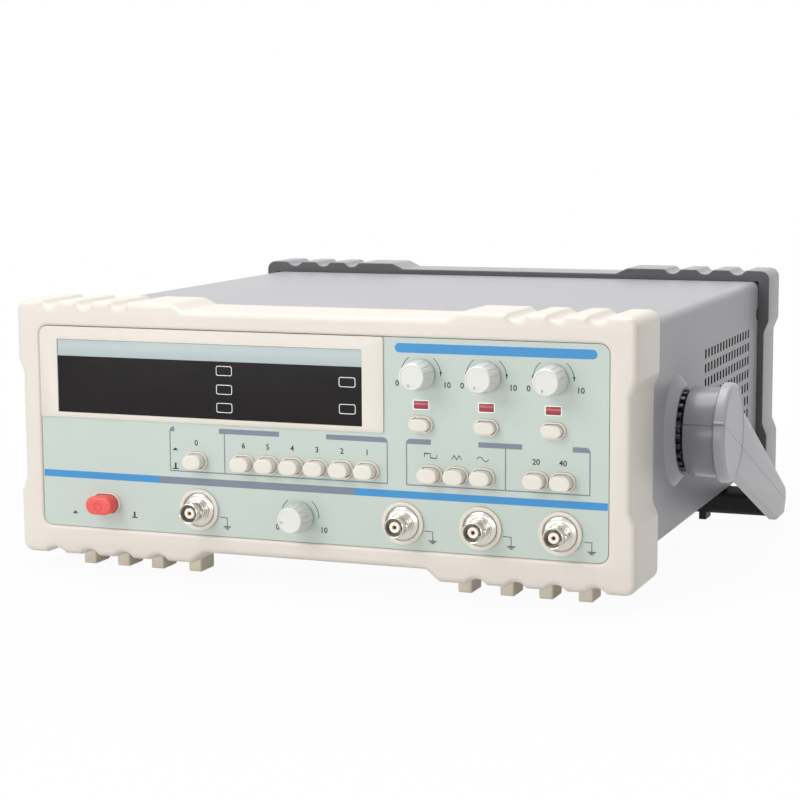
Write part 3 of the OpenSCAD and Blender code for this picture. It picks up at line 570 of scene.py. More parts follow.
class BuildBezels(bpy.types.Operator):
    """Front and rear moulded bezels and the fins they stand on"""

    bl_idname = "generator.bezels"
    bl_label = "Bezels"

    def execute(self, context):
        s = context.scene.generator_case
        pocket_z = mm_box("bottom_plate")[0][2] - 0.2, mm_box("top_cover")[1][2] + 0.2
        pocket = rounded_rect(-POCKET_X, pocket_z[0], POCKET_X, pocket_z[1], 0.5, 2)
        opening = rounded_rect(*OPENING, 4.7)
        for node, finish in (("front_bezel", "cream_abs"), ("rear_bezel", "grey_abs")):
            lo, hi = mm_box(node)
            outline = bezel_outline(lo, hi, s)
            at_front = node == "front_bezel"
            shell = Shell()
            front_edge, rear_edge = (s.edge, 0.8) if at_front else (0.8, s.edge)
            front = shell.dome(outline, lo[1], front_edge, 5)
            rear = shell.dome(outline, hi[1], rear_edge, 5, -1)
            shell.wall(front[-1], rear[-1])
            # from the open face, past the lip behind it, to the pocket that takes the cover
            if at_front:
                face, lip, mouth, sign = lo[1], LIP, hi[1], 1
            else:
                face, lip, mouth, sign = hi[1], mm_box("rear_panel")[1][1] + 0.2, lo[1], -1
            rings = shell.dome(opening, face, 1.5, 5, sign, -1)
            inner = shell.ring(opening, lip)
            shell.wall(rings[-1], inner)
            wide = shell.ring(pocket, lip)
            end = shell.ring(pocket, mouth)
            shell.wall(wide, end)
            shell.fill(wide, inner)
            shell.fill((front if at_front else rear)[0], rings[0])
            shell.fill((rear if at_front else front)[0], end)
            slot = "bezel_cream" if at_front else "bezel_grey"
            made = piece(node + "_moulding", *shell.parts(), finish, sharp=32, slot=slot, replaces=(node,))
            if not at_front:
                # painted shade: the rear bezel's faces that look forward, near its front, take the darker
                # grey
                second(made, "shadow_grey", lambda c, n: n.y < -0.7 and c[1] < lo[1] + 1.2)
        # painted light: the feet carry a lightened colour for the light under the case
        refined("feet", "foot_rubber_painted_light", bevel=1.0, segments=3)
        return {"FINISHED"}


class BuildCover(bpy.types.Operator):
    """Powder-coated cover with its vents and raised rings, base plate and rear panel"""

    bl_idname = "generator.cover"
    bl_label = "Cover"

    def execute(self, context):
        s = context.scene.generator_case

        def pressed(x, y, z):
            """Leans the wall of the pressed ring inwards and eases the vents open."""
            r = math.hypot(y - AXIS[0], z - AXIS[1])
            if abs(x) > 147 and VENTS[0] - 2 < y < VENTS[1] + 2:
                away = (y - VENTS[0] + VENT_PITCH / 2) % VENT_PITCH - VENT_PITCH / 2
                if abs(away) < 1.5:
                    return x, y + 0.22 * away, z
            if abs(x) < 151.5 or r < 24:
                return x, y, z
            scale = s.ring_top / r
            return x, AXIS[0] + (y - AXIS[0]) * scale, AXIS[1] + (z - AXIS[1]) * scale

        def in_vent(c, n):
            return abs(n.x) < 0.3 and abs(c[0]) > 147.3 and 160 < c[1] < 280

        made = refined("top_cover", "powder_coat", sharp=32, name="cover_sheet", move=pressed)
        # painted shade: the side walls of the vent slots take near black
        second(made, "vent_wall_painted_shade", in_vent)
        dress("bottom_plate", "zinc_sheet")
        dress("rear_panel", "powder_coat")
        dress("screws", "steel")
        return {"FINISHED"}


def stroke(points, width):
    """Outline of an open path drawn with a pen of this width."""
    left, right = [], []
    n = len(points)
    for i, p in enumerate(points):
        a, b = points[max(0, i - 1)], points[min(n - 1, i + 1)]
        length = math.dist(a, b) or 1
        nx, nz = -(b[1] - a[1]) / length, (b[0] - a[0]) / length
        if 0 < i < n - 1:
            ux, uz = p[0] - a[0], p[1] - a[1]
            seg = math.hypot(ux, uz) or 1
            grow = 1 / max(0.5, abs(nx * -uz / seg + nz * ux / seg))
        else:
            grow = 1
        left.append((p[0] + nx * width / 2 * grow, p[1] + nz * width / 2 * grow))
        right.append((p[0] - nx * width / 2 * grow, p[1] - nz * width / 2 * grow))
    return left + right[::-1]


def printed(name, outlines, finish, y=0.0, lift=0.04, holes=None):
    """Ink on a surface at y: thin solids that stand off it by lift."""
    solids = []
    for k, outline in enumerate(outlines):
        inner = (holes or {}).get(k, ())
        solids.append(block(outline, y - lift, y + 0.02, holes=inner).parts())
    return piece(name, *join(solids), finish, sharp=30)


def at(points, x, z):
    """The points moved to a place on the panel."""
    return [(px + x, pz + z) for px, pz in points]


def digits(name, labels, size, finish, lift):
    """Plain numbers on the panel, centred on their places: (text, x, z)."""
    verts, faces = [], []
    for text, x, z in labels:
        curve = bpy.data.curves.new(name, "FONT")
        curve.body = text
        curve.size = size
        curve.align_x = "CENTER"
        curve.align_y = "CENTER"
        curve.resolution_u = 3
        curve.extrude = lift / 2
        curve.offset = 0.07
        holder = bpy.data.objects.new(name, curve)
        bpy.context.scene.collection.objects.link(holder)
        bpy.context.view_layer.update()
        graph = bpy.context.evaluated_depsgraph_get()
        mesh = bpy.data.meshes.new_from_object(holder.evaluated_get(graph))
        base = len(verts)
        verts += [(v.co.x + x, 0.01 - lift / 2 - v.co.z, v.co.y + z) for v in mesh.vertices]
        faces += [tuple(i + base for i in p.vertices) for p in mesh.polygons]
        bpy.data.objects.remove(holder)
        bpy.data.curves.remove(curve)
        bpy.data.meshes.remove(mesh)
    return piece(name, verts, faces, finish, sharp=30)


# Places of the controls on the panel, mm
LEVEL_X = [54.4, 85.6, 116.8]
LOW_X = -6.0  # the lone knob among the jacks
LOW_Z = 34.4
KNOB_Z = 103.4
RANGE_X = [-34.6 + 12.5 * i for i in range(6)]
WAVE_X = [58.9 + 12.5 * i for i in range(3)]
ATTEN_X = [108.9, 121.4]
JACK_X = [-58.0, 45.4, 82.9, 120.4]


class BuildPanel(bpy.types.Operator):
    """Panel moulding, printed film, window, lenses and all the printing"""

    bl_idname = "generator.panel"
    bl_label = "Panel"

    def execute(self, context):
        s = context.scene.generator_panel
        lift = s.print_height
        refined("control_panel", "panel_abs", bevel=0.35, segments=2)
        refined("panel_overlay", "overlay_film")
        refined("display_window", "smoked_acrylic", bevel=0.15)
        refined("label_strip", "strip_film", bevel=0.15)
        refined("indicator_lenses", "lens_red", bevel=0.1)

        def bar(x0, x1, z0, z1):
            return [(x0, BAR_Z + z0), (x1, BAR_Z + z0), (x1, BAR_Z + z1), (x0, BAR_Z + z1)]

        # the long bar and the one over the knobs
        blue = [bar(-142, -79.1, -3.4, 0), bar(21.3, 142, -3.4, 0), obround(89.3, BAR_Z + 65.7, 95, 4.3)]
        printed("blue_bars", blue, "ink_blue", lift=lift)
        grey = [bar(-79.1, 21.3, -3.4, 0)]
        # a frame round the keys: a broken bar along its top with round ends, lines at its other sides
        low, high, base, w = 21.9, 24.3, 2.7, s.line
        r = high - low
        for x0, x1, gaps, split in (
            (-73.3, 38.1, [(-70.7, -47.2), (-16.2, 7.6)], -44.4),
            (47.0, 134.0, [(59.1, 81.8), (102.4, 125.8)], 94.6),
        ):
            edges = [x0, *[g for pair in gaps for g in pair], x1]
            for a, b in zip(edges[::2], edges[1::2]):
                z0, z1 = BAR_Z + low, BAR_Z + high
                if a == x0:
                    grey.append(arc(a + r, z0, r, 90, 180, 6) + [(a, z0), (b, z0), (b, z1)])
                elif b == x1:
                    grey.append([(a, z1), (a, z0), (b, z0)] + arc(b - r, z0, r, 0, 90, 6)[1:])
                else:
                    grey.append(bar(a, b, low, high))
            grey.append(bar(x0, x0 + w, base, low))
            grey.append(bar(x1 - w, x1, base, low))
            grey.append(bar(split - w / 2, split + w / 2, base + w, low))
            grey.append(bar(x0 + w, x1 - w, base, base + w))
        printed("grey_bars", grey, "ink_grey", lift=lift)

        # white borders round the lenses
        lens = [rounded_rect(x - 4.0, 87.1, x + 4.0, 91.7, 0.6, 3) for x in LEVEL_X]
        hole = {i: [rounded_rect(x - 3.5, 87.55, x + 3.5, 91.25, 0.1, 1)] for i, x in enumerate(LEVEL_X)}
        printed("lens_borders", lens, "ink_white", lift=lift, holes=hole)

        def cap_sign(foot, half, step, top):
            """A key cap seen from the side: a foot with a stem."""
            right = [(foot, -0.4), (foot, step), (half, step), (half, top)]
            return [(-foot, -0.4), *right, (-half, top), (-half, step), (-foot, step)]

        # black signs: wave shapes, key caps, knob arcs, earth signs
        pen = 0.36
        black = []
        square = [(-3, 0), (-3, 1.6), (0, 1.6), (0, -0.4), (3, -0.4), (3, 1.2)]
        black.append(stroke(at(square, WAVE_X[0], BAR_Z + 16.3), pen))
        triangle = [(-2.4, -0.8), (-1.2, 1.0), (0, -0.8), (1.2, 1.0), (2.4, -0.8)]
        black.append(stroke(at(triangle, WAVE_X[1], BAR_Z + 16.6), pen))
        sine = [(-2.8 + 5.6 * k / 20, 1.0 * math.sin(2 * math.pi * k / 20)) for k in range(21)]
        black.append(stroke(at(sine, WAVE_X[2], BAR_Z + 16.6), pen))
        for x, z in ((-70.3, BAR_Z + 13.2), (-125.3, BAR_Z - 20.6)):
            black.append(at(cap_sign(1.4, 0.7, 0.0, 0.8), x, z))  # pushed in
        for x, z in ((-70.3, BAR_Z + 4.2), (-92.9, BAR_Z - 20.9)):
            black.append(at(cap_sign(1.6, 0.5, 0.1, 2.7), x, z))  # released
        for x in LEVEL_X:
            for side, sweep in ((-1, arc(0, 0, 9.5, 128, 176, 12)), (1, arc(0, 0, 9.5, 52, 4, 12))):
                black.append(stroke(at(sweep, x, KNOB_Z), 0.3))
                tip = [(side * 9.5 - 0.55, 1.5), (side * 9.5 + 0.55, 1.5), (side * 9.5, -0.9)]
                black.append(at(tip, x, KNOB_Z))
        for sweep in (arc(0, 0, 9.5, 52, -3, 14), arc(0, 0, 9.5, 130, 160, 10)):
            black.append(stroke(at(sweep, LOW_X, LOW_Z), 0.32))
        for x in JACK_X:
            black.append(stroke(at([(10.4, -3.0), (14.4, -3.2), (14.4, -7.2)], x, LOW_Z), 0.32))
            for k, half in enumerate((2.0, 1.3, 0.6)):
                z0, z1 = -7.6 - k * 0.6, -7.2 - k * 0.6
                rung = [(14.4 - half, z0), (14.4 + half, z0), (14.4 + half, z1), (14.4 - half, z1)]
                black.append(at(rung, x, LOW_Z))
        printed("black_signs", black, "ink_black", lift=lift)

        numbers = [(str(6 - i), x, BAR_Z + 16.7) for i, x in enumerate(RANGE_X)]
        numbers += [("0", -59.2, BAR_Z + 16.8)]
        numbers += [(text, x, BAR_Z + 16.6) for text, x in zip(("20", "40"), ATTEN_X)]
        digits("panel_numbers", numbers, 3.7, "ink_black", lift=lift)
        dial = []
        for x in LEVEL_X:
            dial += [("0", x - 11.5, KNOB_Z - 4.6), ("10", x + 12.5, KNOB_Z - 4.6)]
        dial += [("0", LOW_X - 11.5, LOW_Z - 6.0), ("10", LOW_X + 12, LOW_Z - 6.0)]
        digits("dial_numbers", dial, 3.7, "ink_black", lift=lift)

        # empty frames on the window, where units light up
        boxes = [(-44.0, 51.8), (-44.0, 42.95), (-44.0, 34.3), (18.4, 48.95), (18.4, 36.5)]

        def frame_at(x, z, w, h, r):
            return rounded_rect(x - w, BAR_Z + z - h, x + w, BAR_Z + z + h, r, 4)

        frames = [frame_at(x, z, 4.1, 2.3, 0.9) for x, z in boxes]
        inner = {i: [frame_at(x, z, 3.8, 2.0, 0.7)] for i, (x, z) in enumerate(boxes)}
        window_y = mm_box("display_window")[0][1]
        printed("unit_frames", frames, "ink_white", y=window_y, lift=lift, holes=inner)
        return {"FINISHED"}


class BuildKeys(bpy.types.Operator):
    """Every key cap, rounded over and slightly dished"""

    bl_idname = "generator.keys"
    bl_label = "Keys"

    def execute(self, context):
        for body, nodes in frame["record"]["behaviour"]["bodies"].items():
            for node in nodes:
                if "_key" in node:
                    self.cap(node, body, node == "power_key")
        return {"FINISHED"}

    def cap(self, node, body, power):
        lo, hi = mm_box(node)
        x, z = (lo[0] + hi[0]) / 2, (lo[2] + hi[2]) / 2
        w, h = hi[0] - lo[0], hi[2] - lo[2]
        outline = obround(x, z, w - 0.04, h - 0.04)
        shell = Shell()
        rings = shell.dome(outline, lo[1], 1.0 if power else 0.8, 4)
        back = shell.ring(outline, 5.0)
        shell.wall(rings[-1], back)
        stem = shell.ring(circle(x, z, 1.95, 24), 5.0)
        tail = shell.ring(circle(x, z, 1.95, 24), hi[1])
        shell.fill(back, stem)
        shell.wall(stem, tail)
        shell.fill(tail)
        # the face dips a little towards its middle
        dish = shell.ring(inset(outline, h * 0.36), lo[1] + 0.14)
        shell.wall(rings[0], dish)
        shell.fill(dish)
        finish, slot = ("power_abs", "key_red") if power else ("key_abs", "key")
        piece(node + "_cap", *shell.parts(), finish, body, sharp=50, slot=slot, replaces=(node,))
        if power:
            sweep = stroke(at(arc(0, 0, 2.0, 125, 415, 20), x, z - 0.2), 0.45)
            bar = at([(-0.22, 0.4), (0.22, 0.4), (0.22, 2.6), (-0.22, 2.6)], x, z - 0.2)
            mark = [block(one, lo[1] + 0.02, lo[1] + 0.4).parts() for one in (sweep, bar)]
            # painted shade: the mark takes a darker red than the key
            piece("power_mark", *join(mark), "power_shade", body, sharp=30)


# Turn of a knob's pointer at its lower stop, degrees from straight up
POINTER_TURN = {"frequency": 256, "symmetry": 200, "offset": 200, "amplitude": 200}


class BuildKnobs(bpy.types.Operator):
    """Ribbed knobs with a pointer dimple, their shafts and nuts"""

    bl_idname = "generator.knobs"
    bl_label = "Knobs"

    def execute(self, context):
        ribs = context.scene.generator_panel.knob_ribs
        for what, pointer_turn in POINTER_TURN.items():
            lo, hi = mm_box(what + "_knob")
            x, z = (lo[0] + hi[0]) / 2, (lo[2] + hi[2]) / 2
            tip, base_y, big, small = lo[1], hi[1], (hi[0] - lo[0]) / 2, 6.1
            slope = (big - small) / (base_y - tip - 0.8)
            # the face with its rim, the rounded edge, the ribbed skirt, then the hollow and the bore
            profile = [(0.0, tip + 0.25), (small - 1.15, tip + 0.25)]
            profile += [(small - 1.0, tip + 0.05), (small - 0.9, tip)]
            for t in (math.pi / 2 * k / 4 for k in (1, 2, 3, 4)):
                profile.append((small - 0.9 * (1 - math.sin(t)), tip + 0.9 * (1 - math.cos(t))))
            ys = [tip + 1.5 + (base_y - tip - 2.6) * k / 6 for k in range(7)]
            profile += [(small + slope * (y - tip), y) for y in ys]
            profile += [(big, base_y - 0.7), (big, base_y - 0.15), (big - 0.15, base_y), (5.6, base_y)]
            profile += [(5.6, tip + 9.7), (3.02, tip + 9.7), (3.02, tip + 3), (0.0, tip + 3)]

            def groove(a, r, d):
                if r < small - 0.05 or d < tip + 1.2 or d > base_y - 1.0 or r < 5.7:
                    return 0.0
                phase = (a * ribs / (2 * math.pi)) % 1.0
                return -0.36 * math.exp(-(((phase - 0.5) / 0.08) ** 2))

            made = lathe(profile, (x, 0, z), steps=ribs * 12, wobble=groove)
            name, body = what + "_knob", what + "_dial"
            piece(name + "_cap", *made, "knob_abs", body, sharp=50, slot="knob", replaces=(name,))
            # pointer dimple with a raised lip, and a darker disc inside it that is painted shade
            turn = math.radians(pointer_turn)
            px, pz = x + 4.0 * math.sin(turn), z + 4.0 * math.cos(turn)
            lip = [(0.55, 0.3), (0.55, 0.12), (0.66, 0.04), (0.76, 0.04), (0.87, 0.12), (0.92, 0.3)]
            hollow = [(0.0, 0.22), (0.58, 0.22), (0.58, 0.4)]
            for part, shape, finish in (("_pointer", lip, "knob_abs"), ("_dimple", hollow, "knob_hollow")):
                made = lathe([(r, tip + d) for r, d in shape], (px, 0, pz), steps=24)
                piece(what + part, *made, finish, body, sharp=60)
            dress(what + "_shaft", "steel")
        dress("panel_nuts", "steel")
        dress("potentiometers", "steel")
        return {"FINISHED"}


class BuildJacks(bpy.types.Operator):
    """Bayonet jacks: turned shells with lugs, white insulators and gilt contacts"""

    bl_idname = "generator.jacks"
    bl_label = "Jacks"

    def execute(self, context):
        shells, cores, pins = [], [], []
        tip = mm_box("jack_shells")[0][1]
        for x in JACK_X:
            # bore, mouth, grooved collar, grooved neck, shoulder, flange, thread
            profile = [(2.82, 9.5), (2.82, tip + 9), (4.06, tip + 9), (4.06, tip + 0.5)]
            profile += [(4.3, tip + 0.1), (4.5, tip), (4.7, tip + 0.08), (4.83, tip + 0.3)]
            profile += [(4.83, tip + 1.2), (4.7, tip + 1.35), (4.7, tip + 1.6), (4.83, tip + 1.75)]
            profile += [(4.83, tip + 2.9), (4.6, tip + 3.1), (4.6, tip + 6.6), (4.35, tip + 6.8)]
            profile += [(4.35, tip + 7.3), (4.6, tip + 7.5), (4.6, -3.25)]
            profile += [(5.5, -3.2), (5.7, -3.0), (5.7, -1.3), (7.3, -1.0), (7.55, -0.85), (7.6, -0.6)]
            profile += [(7.6, 0.5), (6.2, 0.5)]
            for k in range(8):
                y = 1.0 + k * 1.0
                profile += [(6.2, y), (5.95, y + 0.5)]
            profile += [(6.2, 9.2), (5.9, 9.5), (2.82, 9.5)]
            shells.append(lathe(profile, (x, 0, LOW_Z)))
            lug = [(0, -5.58), (0.7, -5.58), (0.92, -5.35), (0.95, -4.9), (0.95, -4.2), (0, -4.2)]
            for side in (-1, 1):
                outwards = [(r, side * -d) for r, d in lug]
                shells.append(lathe(outwards, (x, tip + 4.2, LOW_Z), axis="X", steps=20))
            core = [(0.97, tip + 1.6), (1.2, tip + 1.2), (2.3, tip + 1.2), (2.55, tip + 1.45)]
            core += [(2.55, tip + 8.9), (2.8, tip + 9.0), (2.8, 11.5), (0.97, 11.5), (0.97, tip + 1.6)]
            cores.append(lathe(core, (x, 0, LOW_Z), steps=40))
            pin = [(0.0, tip + 5), (0.55, tip + 5), (0.55, tip + 1.7), (0.7, tip + 1.5), (0.95, tip + 1.65)]
            pin += [(0.95, 12.6), (0.0, 12.6)]
            pins.append(lathe(pin, (x, 0, LOW_Z), steps=24))

        made = piece(
            "jack_barrels", *join(shells), "nickel", sharp=30, slot="nickel", replaces=("jack_shells",)
        )

        def in_bore(c, n):
            r = min(math.hypot(c[0] - x, c[2] - LOW_Z) for x in JACK_X)
            return 3.5 < r < 4.2 and c[1] < -3.3

        second(made, "bore_nickel", in_bore)
        piece("jack_cores", *join(cores), "ptfe", sharp=40, slot="ptfe", replaces=("jack_insulators",))
        piece("jack_pins", *join(pins), "gold", sharp=40, slot="gold", replaces=("jack_contacts",))
        return {"FINISHED"}


def hull(points):
    """Anticlockwise convex outline round the points."""
    points = sorted(set((round(a, 5), round(b, 5)) for a, b in points))

    def half(order):
        out = []
        for p in order:
            while len(out) > 1:
                (ax, az), (bx, bz) = out[-2], out[-1]
                if (bx - ax) * (p[1] - az) - (bz - az) * (p[0] - ax) > 0:
                    break
                out.pop()
            out.append(p)
        return out[:-1]

    return half(points) + half(points[::-1])


def round_and_round():
    """A Geometry Nodes tree that sets copies of a part on a circle in the YZ plane."""
    tree = bpy.data.node_groups.new("round_and_round", "GeometryNodeTree")
    face = tree.interface
    face.new_socket("Geometry", in_out="OUTPUT", socket_type="NodeSocketGeometry")
    named = {}
    for name, kind in (
        ("Count", "NodeSocketInt"),
        ("Radius", "NodeSocketFloat"),
        ("Part", "NodeSocketObject"),
        ("Finish", "NodeSocketMaterial"),
    ):
        named[name] = face.new_socket(name, in_out="INPUT", socket_type=kind).identifier
    source = add(tree, "NodeGroupInput")
    links = {"Vertices": source.outputs["Count"], "Radius": source.outputs["Radius"]}
    ring = add(tree, "GeometryNodeMeshCircle", links)
    upright = add(tree, "GeometryNodeTransform", {"Geometry": ring.outputs[0]}, Rotation=(0, math.pi / 2, 0))
    where = add(tree, "GeometryNodeInputPosition")
    facing = add(tree, "FunctionNodeAlignRotationToVector", {"Vector": where.outputs[0]}, axis="Z")
    shape = add(tree, "GeometryNodeObjectInfo", {"Object": source.outputs["Part"]})
    links = {"Points": upright.outputs[0], "Instance": shape.outputs["Geometry"]}
    links["Rotation"] = facing.outputs[0]
    copies = add(tree, "GeometryNodeInstanceOnPoints", links)
    real = add(tree, "GeometryNodeRealizeInstances", {"Geometry": copies.outputs[0]})
    links = {"Geometry": real.outputs[0], "Material": source.outputs["Finish"]}
    last = add(tree, "GeometryNodeSetMaterial", links)
    add(tree, "NodeGroupOutput", {"Geometry": last.outputs[0]})
    return tree, named


TEETH_X = 151.8  # from the middle of the box, mm


def teeth(name, side, count, radius, finish):
    """Click teeth round the pivot, between the pressed ring and the hub."""
    x = side * TEETH_X * MM
    seed = bpy.data.meshes.new("tooth")
    corners = [(-3.2, -1.1), (3.2, -1.1), (3.2, 1.1), (-3.2, 1.1)]
    verts = [(a * MM, b * MM, c * MM) for c in (-1.6, 1.2) for a, b in corners]
    sides = [(0, 1, 5, 4), (1, 2, 6, 5), (2, 3, 7, 6), (3, 0, 4, 7)]
    seed.from_pydata(verts, [], [(3, 2, 1, 0), (4, 5, 6, 7), *sides])
    tooth = bpy.data.objects.new("tooth", seed)
    ring = bpy.data.objects.new(name, bpy.data.meshes.new(name))
    for obj in (tooth, ring):
        bpy.context.scene.collection.objects.link(obj)
    tree, named = round_and_round()
    mod = ring.modifiers.new("teeth", "NODES")
    mod.node_group = tree
    values = {"Count": count, "Radius": radius * MM, "Part": tooth, "Finish": FINISH[finish]}
    for key, value in values.items():
        mod[named[key]] = value
    bpy.context.view_layer.update()
    graph = bpy.context.evaluated_depsgraph_get()
    made = bpy.data.meshes.new_from_object(ring.evaluated_get(graph))
    ring.modifiers.clear()
    for obj in (tooth, ring):
        bpy.data.objects.remove(obj)
    for v in made.vertices:
        v.co += Vector((x, (PANEL_Y + AXIS[0]) * MM, AXIS[1] * MM))
    return settle(name, made, finish, "case", bevel=0.25)


NIB_ANGLE = 162  # about the handle's axis, degrees


class BuildHandle(bpy.types.Operator):
    """Tilting handle: hubs, arms, grip, pivot pins and the toothed plates behind the hubs"""

    bl_idname = "generator.handle"
    bl_label = "Handle"

    def execute(self, context):
        h = context.scene.generator_handle
        (inner, _, _), (outer, _, _) = mm_box("arm_right")
        along = (math.cos(h.drop), -math.sin(h.drop))
        tip = [AXIS[k] + along[k] * h.tip_distance for k in (0, 1)]
        # the arm's end reaches down round the grip
        _, rear, top = mm_box("handle_grip")[1]
        low, back, front = top - 14.2, rear + 1.0, rear - 23.0
        corners = [(front + 4, low + 4, 4), (back - 4, low + 4, 4)]
        corners += [(*tip, h.tip_radius), (*AXIS, h.root_radius)]
        outline = hull([p for y, z, r in corners for p in arc(y, z, r, 0, 360, 72)])
        height = outer - inner
        for side, sign in (("left", -1), ("right", 1)):
            refined("hub_" + side, "hub_nylon", "handle", bevel=0.7, segments=3)
            plate = block(outline, -(outer - h.cap_step), -inner, front=h.arm_round, back=0.8, steps=5)
            rim = [(0.0, 0.0), (h.cap_radius - 0.6, 0.0), (h.cap_radius, 0.6)]
            for t in (math.pi / 2 * k / 5 for k in range(6)):
                r = h.cap_radius - 2.2 * (1 - math.cos(t))
                rim.append((r, height - 2.2 * (1 - math.sin(t))))
            rim += [(h.cap_radius - 2.5, height - 0.3), (0.0, height - 0.3)]
            cap = lathe([(r, sign * (inner + d)) for r, d in rim], (0, *AXIS), axis="X", steps=96)
            # a nib where the parting line leaves the cap
            nose = math.radians(NIB_ANGLE)
            reach = h.cap_radius - 0.4
            place = AXIS[0] + reach * math.cos(nose), AXIS[1] + reach * math.sin(nose)
            nib = block(circle(*place, 0.95, 12), -(inner + height - 0.8), -(inner + 0.4), front=0.3)
            flat, faces = join([plate.parts(), nib.parts()])
            verts, faces = join([([(sign * -y, x, z) for x, y, z in flat], faces), cap])
            name = "arm_" + side
            look = {"sharp": 40, "slot": "arm_grey", "replaces": (name,)}
            piece(name + "_shape", verts, faces, "arm_abs", "handle", **look)
        refined("handle_grip", "grip_near_black", "handle")
        refined("detent_plates", "black_nylon", bevel=0.3)
        for name, side in (("left_teeth", -1), ("right_teeth", 1)):
            teeth(name, side, h.teeth, h.teeth_radius, "black_nylon")
        dress("pivot_pins", "steel")
        return {"FINISHED"}


class BuildRear(bpy.types.Operator):
    """Mains inlet with its pins and fuse drawer"""

    bl_idname = "generator.rear"
    bl_label = "Rear"

    def execute(self, context):
        refined("mains_inlet", "inlet_black", bevel=0.6)
        refined("inlet_pins", "nickel", bevel=0.4)
        refined("fuse_drawer", "inlet_black", "fuse_tray", bevel=0.4)
        dress("fuse", "fuse_glass")
        return {"FINISHED"}


class BuildInside(bpy.types.Operator):
    """Boards, transformer and other pieces inside the case"""

    bl_idname = "generator.inside"
    bl_label = "Inside"

    def execute(self, context):
        for node, finish in {
            "front_board": "solder_mask",
            "main_board": "solder_mask",
            "digit_modules": "digit_epoxy",
            "transformer_core": "core_varnish",
            "transformer_winding": "coil_tape",
            "heatsink": "alloy",
            "capacitors": "can_sleeve",
            "switch_banks": "switch_nylon",
        }.items():
            dress(node, finish)
        return {"FINISHED"}


def looked_at(tree):
    """1 for camera, glossy and transmitted rays, which see the plain white set."""
    path = add(tree, "ShaderNodeLightPath")
    pair = {0: path.outputs["Is Camera Ray"], 1: path.outputs["Is Glossy Ray"]}
    both = add(tree, "ShaderNodeMath", pair, operation="MAXIMUM")
    last = {0: both.outputs[0], 1: path.outputs["Is Transmission Ray"]}
    return add(tree, "ShaderNodeMath", last, operation="MAXIMUM").outputs[0]


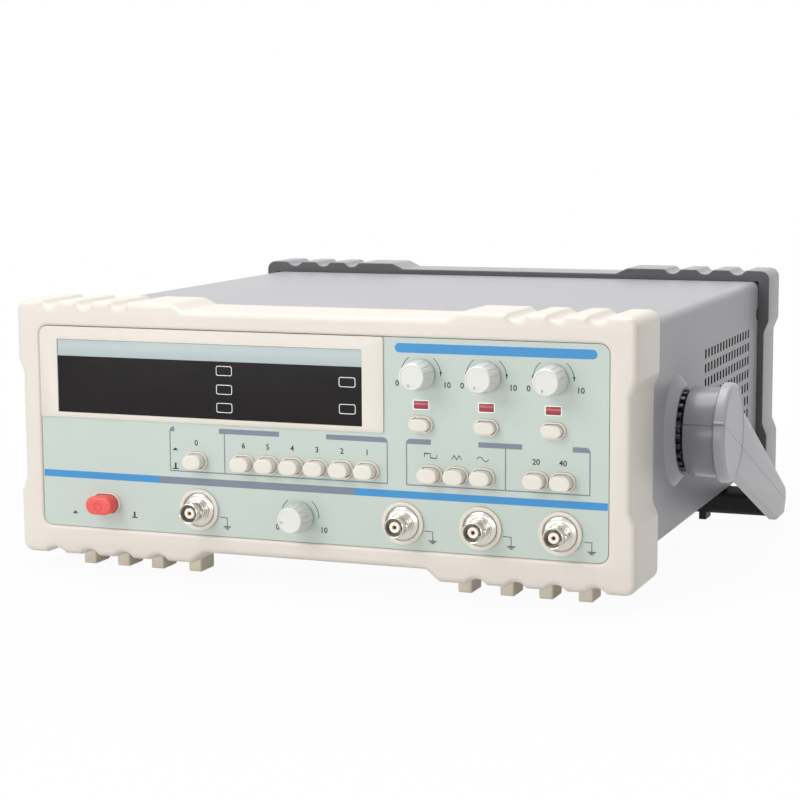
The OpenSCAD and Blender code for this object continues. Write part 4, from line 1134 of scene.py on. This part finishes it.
class BuildStage(bpy.types.Operator):
    """Camera, lamps, world and floor"""

    bl_idname = "generator.stage"
    bl_label = "Stage"

    def execute(self, context):
        s = context.scene.generator_stage
        scene = context.scene
        camera = bpy.data.cameras.new("camera")
        camera.lens = s.lens
        camera.sensor_width = 36
        camera.clip_start = 0.01
        holder = bpy.data.objects.new("camera", camera)
        holder.location = s.camera_place
        holder.rotation_euler = s.camera_turn
        scene.collection.objects.link(holder)
        scene.camera = holder

        world = bpy.data.worlds.new("studio")
        scene.world = world
        world.use_nodes = True
        tree = world.node_tree
        tree.nodes.clear()
        soft = add(tree, "ShaderNodeBackground", Color=(1, 1, 1, 1), Strength=0.3)
        plain = add(tree, "ShaderNodeBackground", Color=(1, 1, 1, 1), Strength=1.0)
        seen = looked_at(tree)
        mix = add(tree, "ShaderNodeMixShader", {0: seen, 1: soft.outputs[0], 2: plain.outputs[0]})
        add(tree, "ShaderNodeOutputWorld", {0: mix.outputs[0]})

        def lamp(name, place, aim, power, size):
            light = bpy.data.lights.new(name, "AREA")
            light.energy = power
            light.shape = "RECTANGLE"
            light.size, light.size_y = size
            obj = bpy.data.objects.new(name, light)
            obj.location = place
            obj.rotation_euler = (Vector(aim) - Vector(place)).to_track_quat("-Z", "Y").to_euler()
            scene.collection.objects.link(obj)

        lamp("key", (-0.9, -1.6, 1.3), (0, -0.1, 0.06), 17.5, (1.2, 1.0))
        lamp("overhead", (-0.1, 0.2, 1.7), (0, 0, 0.06), 29, (1.6, 1.4))
        lamp("fill", (1.5, -1.3, 0.7), (0, 0, 0.06), 2.6, (1.0, 1.0))
        lamp("low", (-0.2, -1.3, 0.12), (0, -0.15, 0.02), 5.2, (1.8, 0.25))

        floor, tree, shader = surface("white_paper_sweep", "#D0D0D0", 0.9)
        glow = add(tree, "ShaderNodeEmission", Color=(1, 1, 1, 1), Strength=1.0)
        far = add(tree, "ShaderNodeVectorMath", {0: position(tree)}, operation="LENGTH")
        fade = ramp(tree, far.outputs["Value"], 0.2, 0.5, 0.95, 1.0)
        amount = add(tree, "ShaderNodeMath", {0: looked_at(tree), 1: fade}, operation="MULTIPLY")
        links = {0: amount.outputs[0], 1: shader.outputs[0], 2: glow.outputs[0]}
        mix = add(tree, "ShaderNodeMixShader", links)
        output = next(n for n in tree.nodes if n.type == "OUTPUT_MATERIAL")
        tree.links.new(mix.outputs[0], output.inputs["Surface"])
        mesh = bpy.data.meshes.new("floor")
        mesh.from_pydata([(-6, -6, 0), (6, -6, 0), (6, 6, 0), (-6, 6, 0)], [], [(0, 1, 2, 3)])
        mesh.materials.append(floor)
        ground = bpy.data.objects.new("floor", mesh)
        scene.collection.objects.link(ground)
        scene.view_settings.view_transform = "Standard"
        return {"FINISHED"}


STEPS = [BuildBezels, BuildCover, BuildPanel, BuildKeys, BuildKnobs, BuildJacks, BuildHandle]
STEPS += [BuildRear, BuildInside, BuildStage]


class GeneratorPanel(bpy.types.Panel):
    """Lists the steps in the 3D view's sidebar"""

    bl_idname = "VIEW3D_PT_generator"
    bl_label = "Function generator"
    bl_space_type = "VIEW_3D"
    bl_region_type = "UI"
    bl_category = "Generator"

    def draw(self, context):
        for step in STEPS:
            self.layout.operator(step.bl_idname)


SETTINGS = {
    "generator_case": CaseSettings,
    "generator_panel": PanelSettings,
    "generator_handle": HandleSettings,
    "generator_stage": StageSettings,
}
CLASSES = (*SETTINGS.values(), *STEPS, GeneratorPanel)


def register():
    for one in CLASSES:
        bpy.utils.register_class(one)
    for name, kind in SETTINGS.items():
        setattr(bpy.types.Scene, name, bpy.props.PointerProperty(type=kind))


def unregister():
    for name in SETTINGS:
        delattr(bpy.types.Scene, name)
    for one in reversed(CLASSES):
        bpy.utils.unregister_class(one)


def main():
    register()
    finishes()
    for step in STEPS:
        group, name = step.bl_idname.split(".")
        getattr(getattr(bpy.ops, group), name)()


if __name__ == "__main__":
    main()
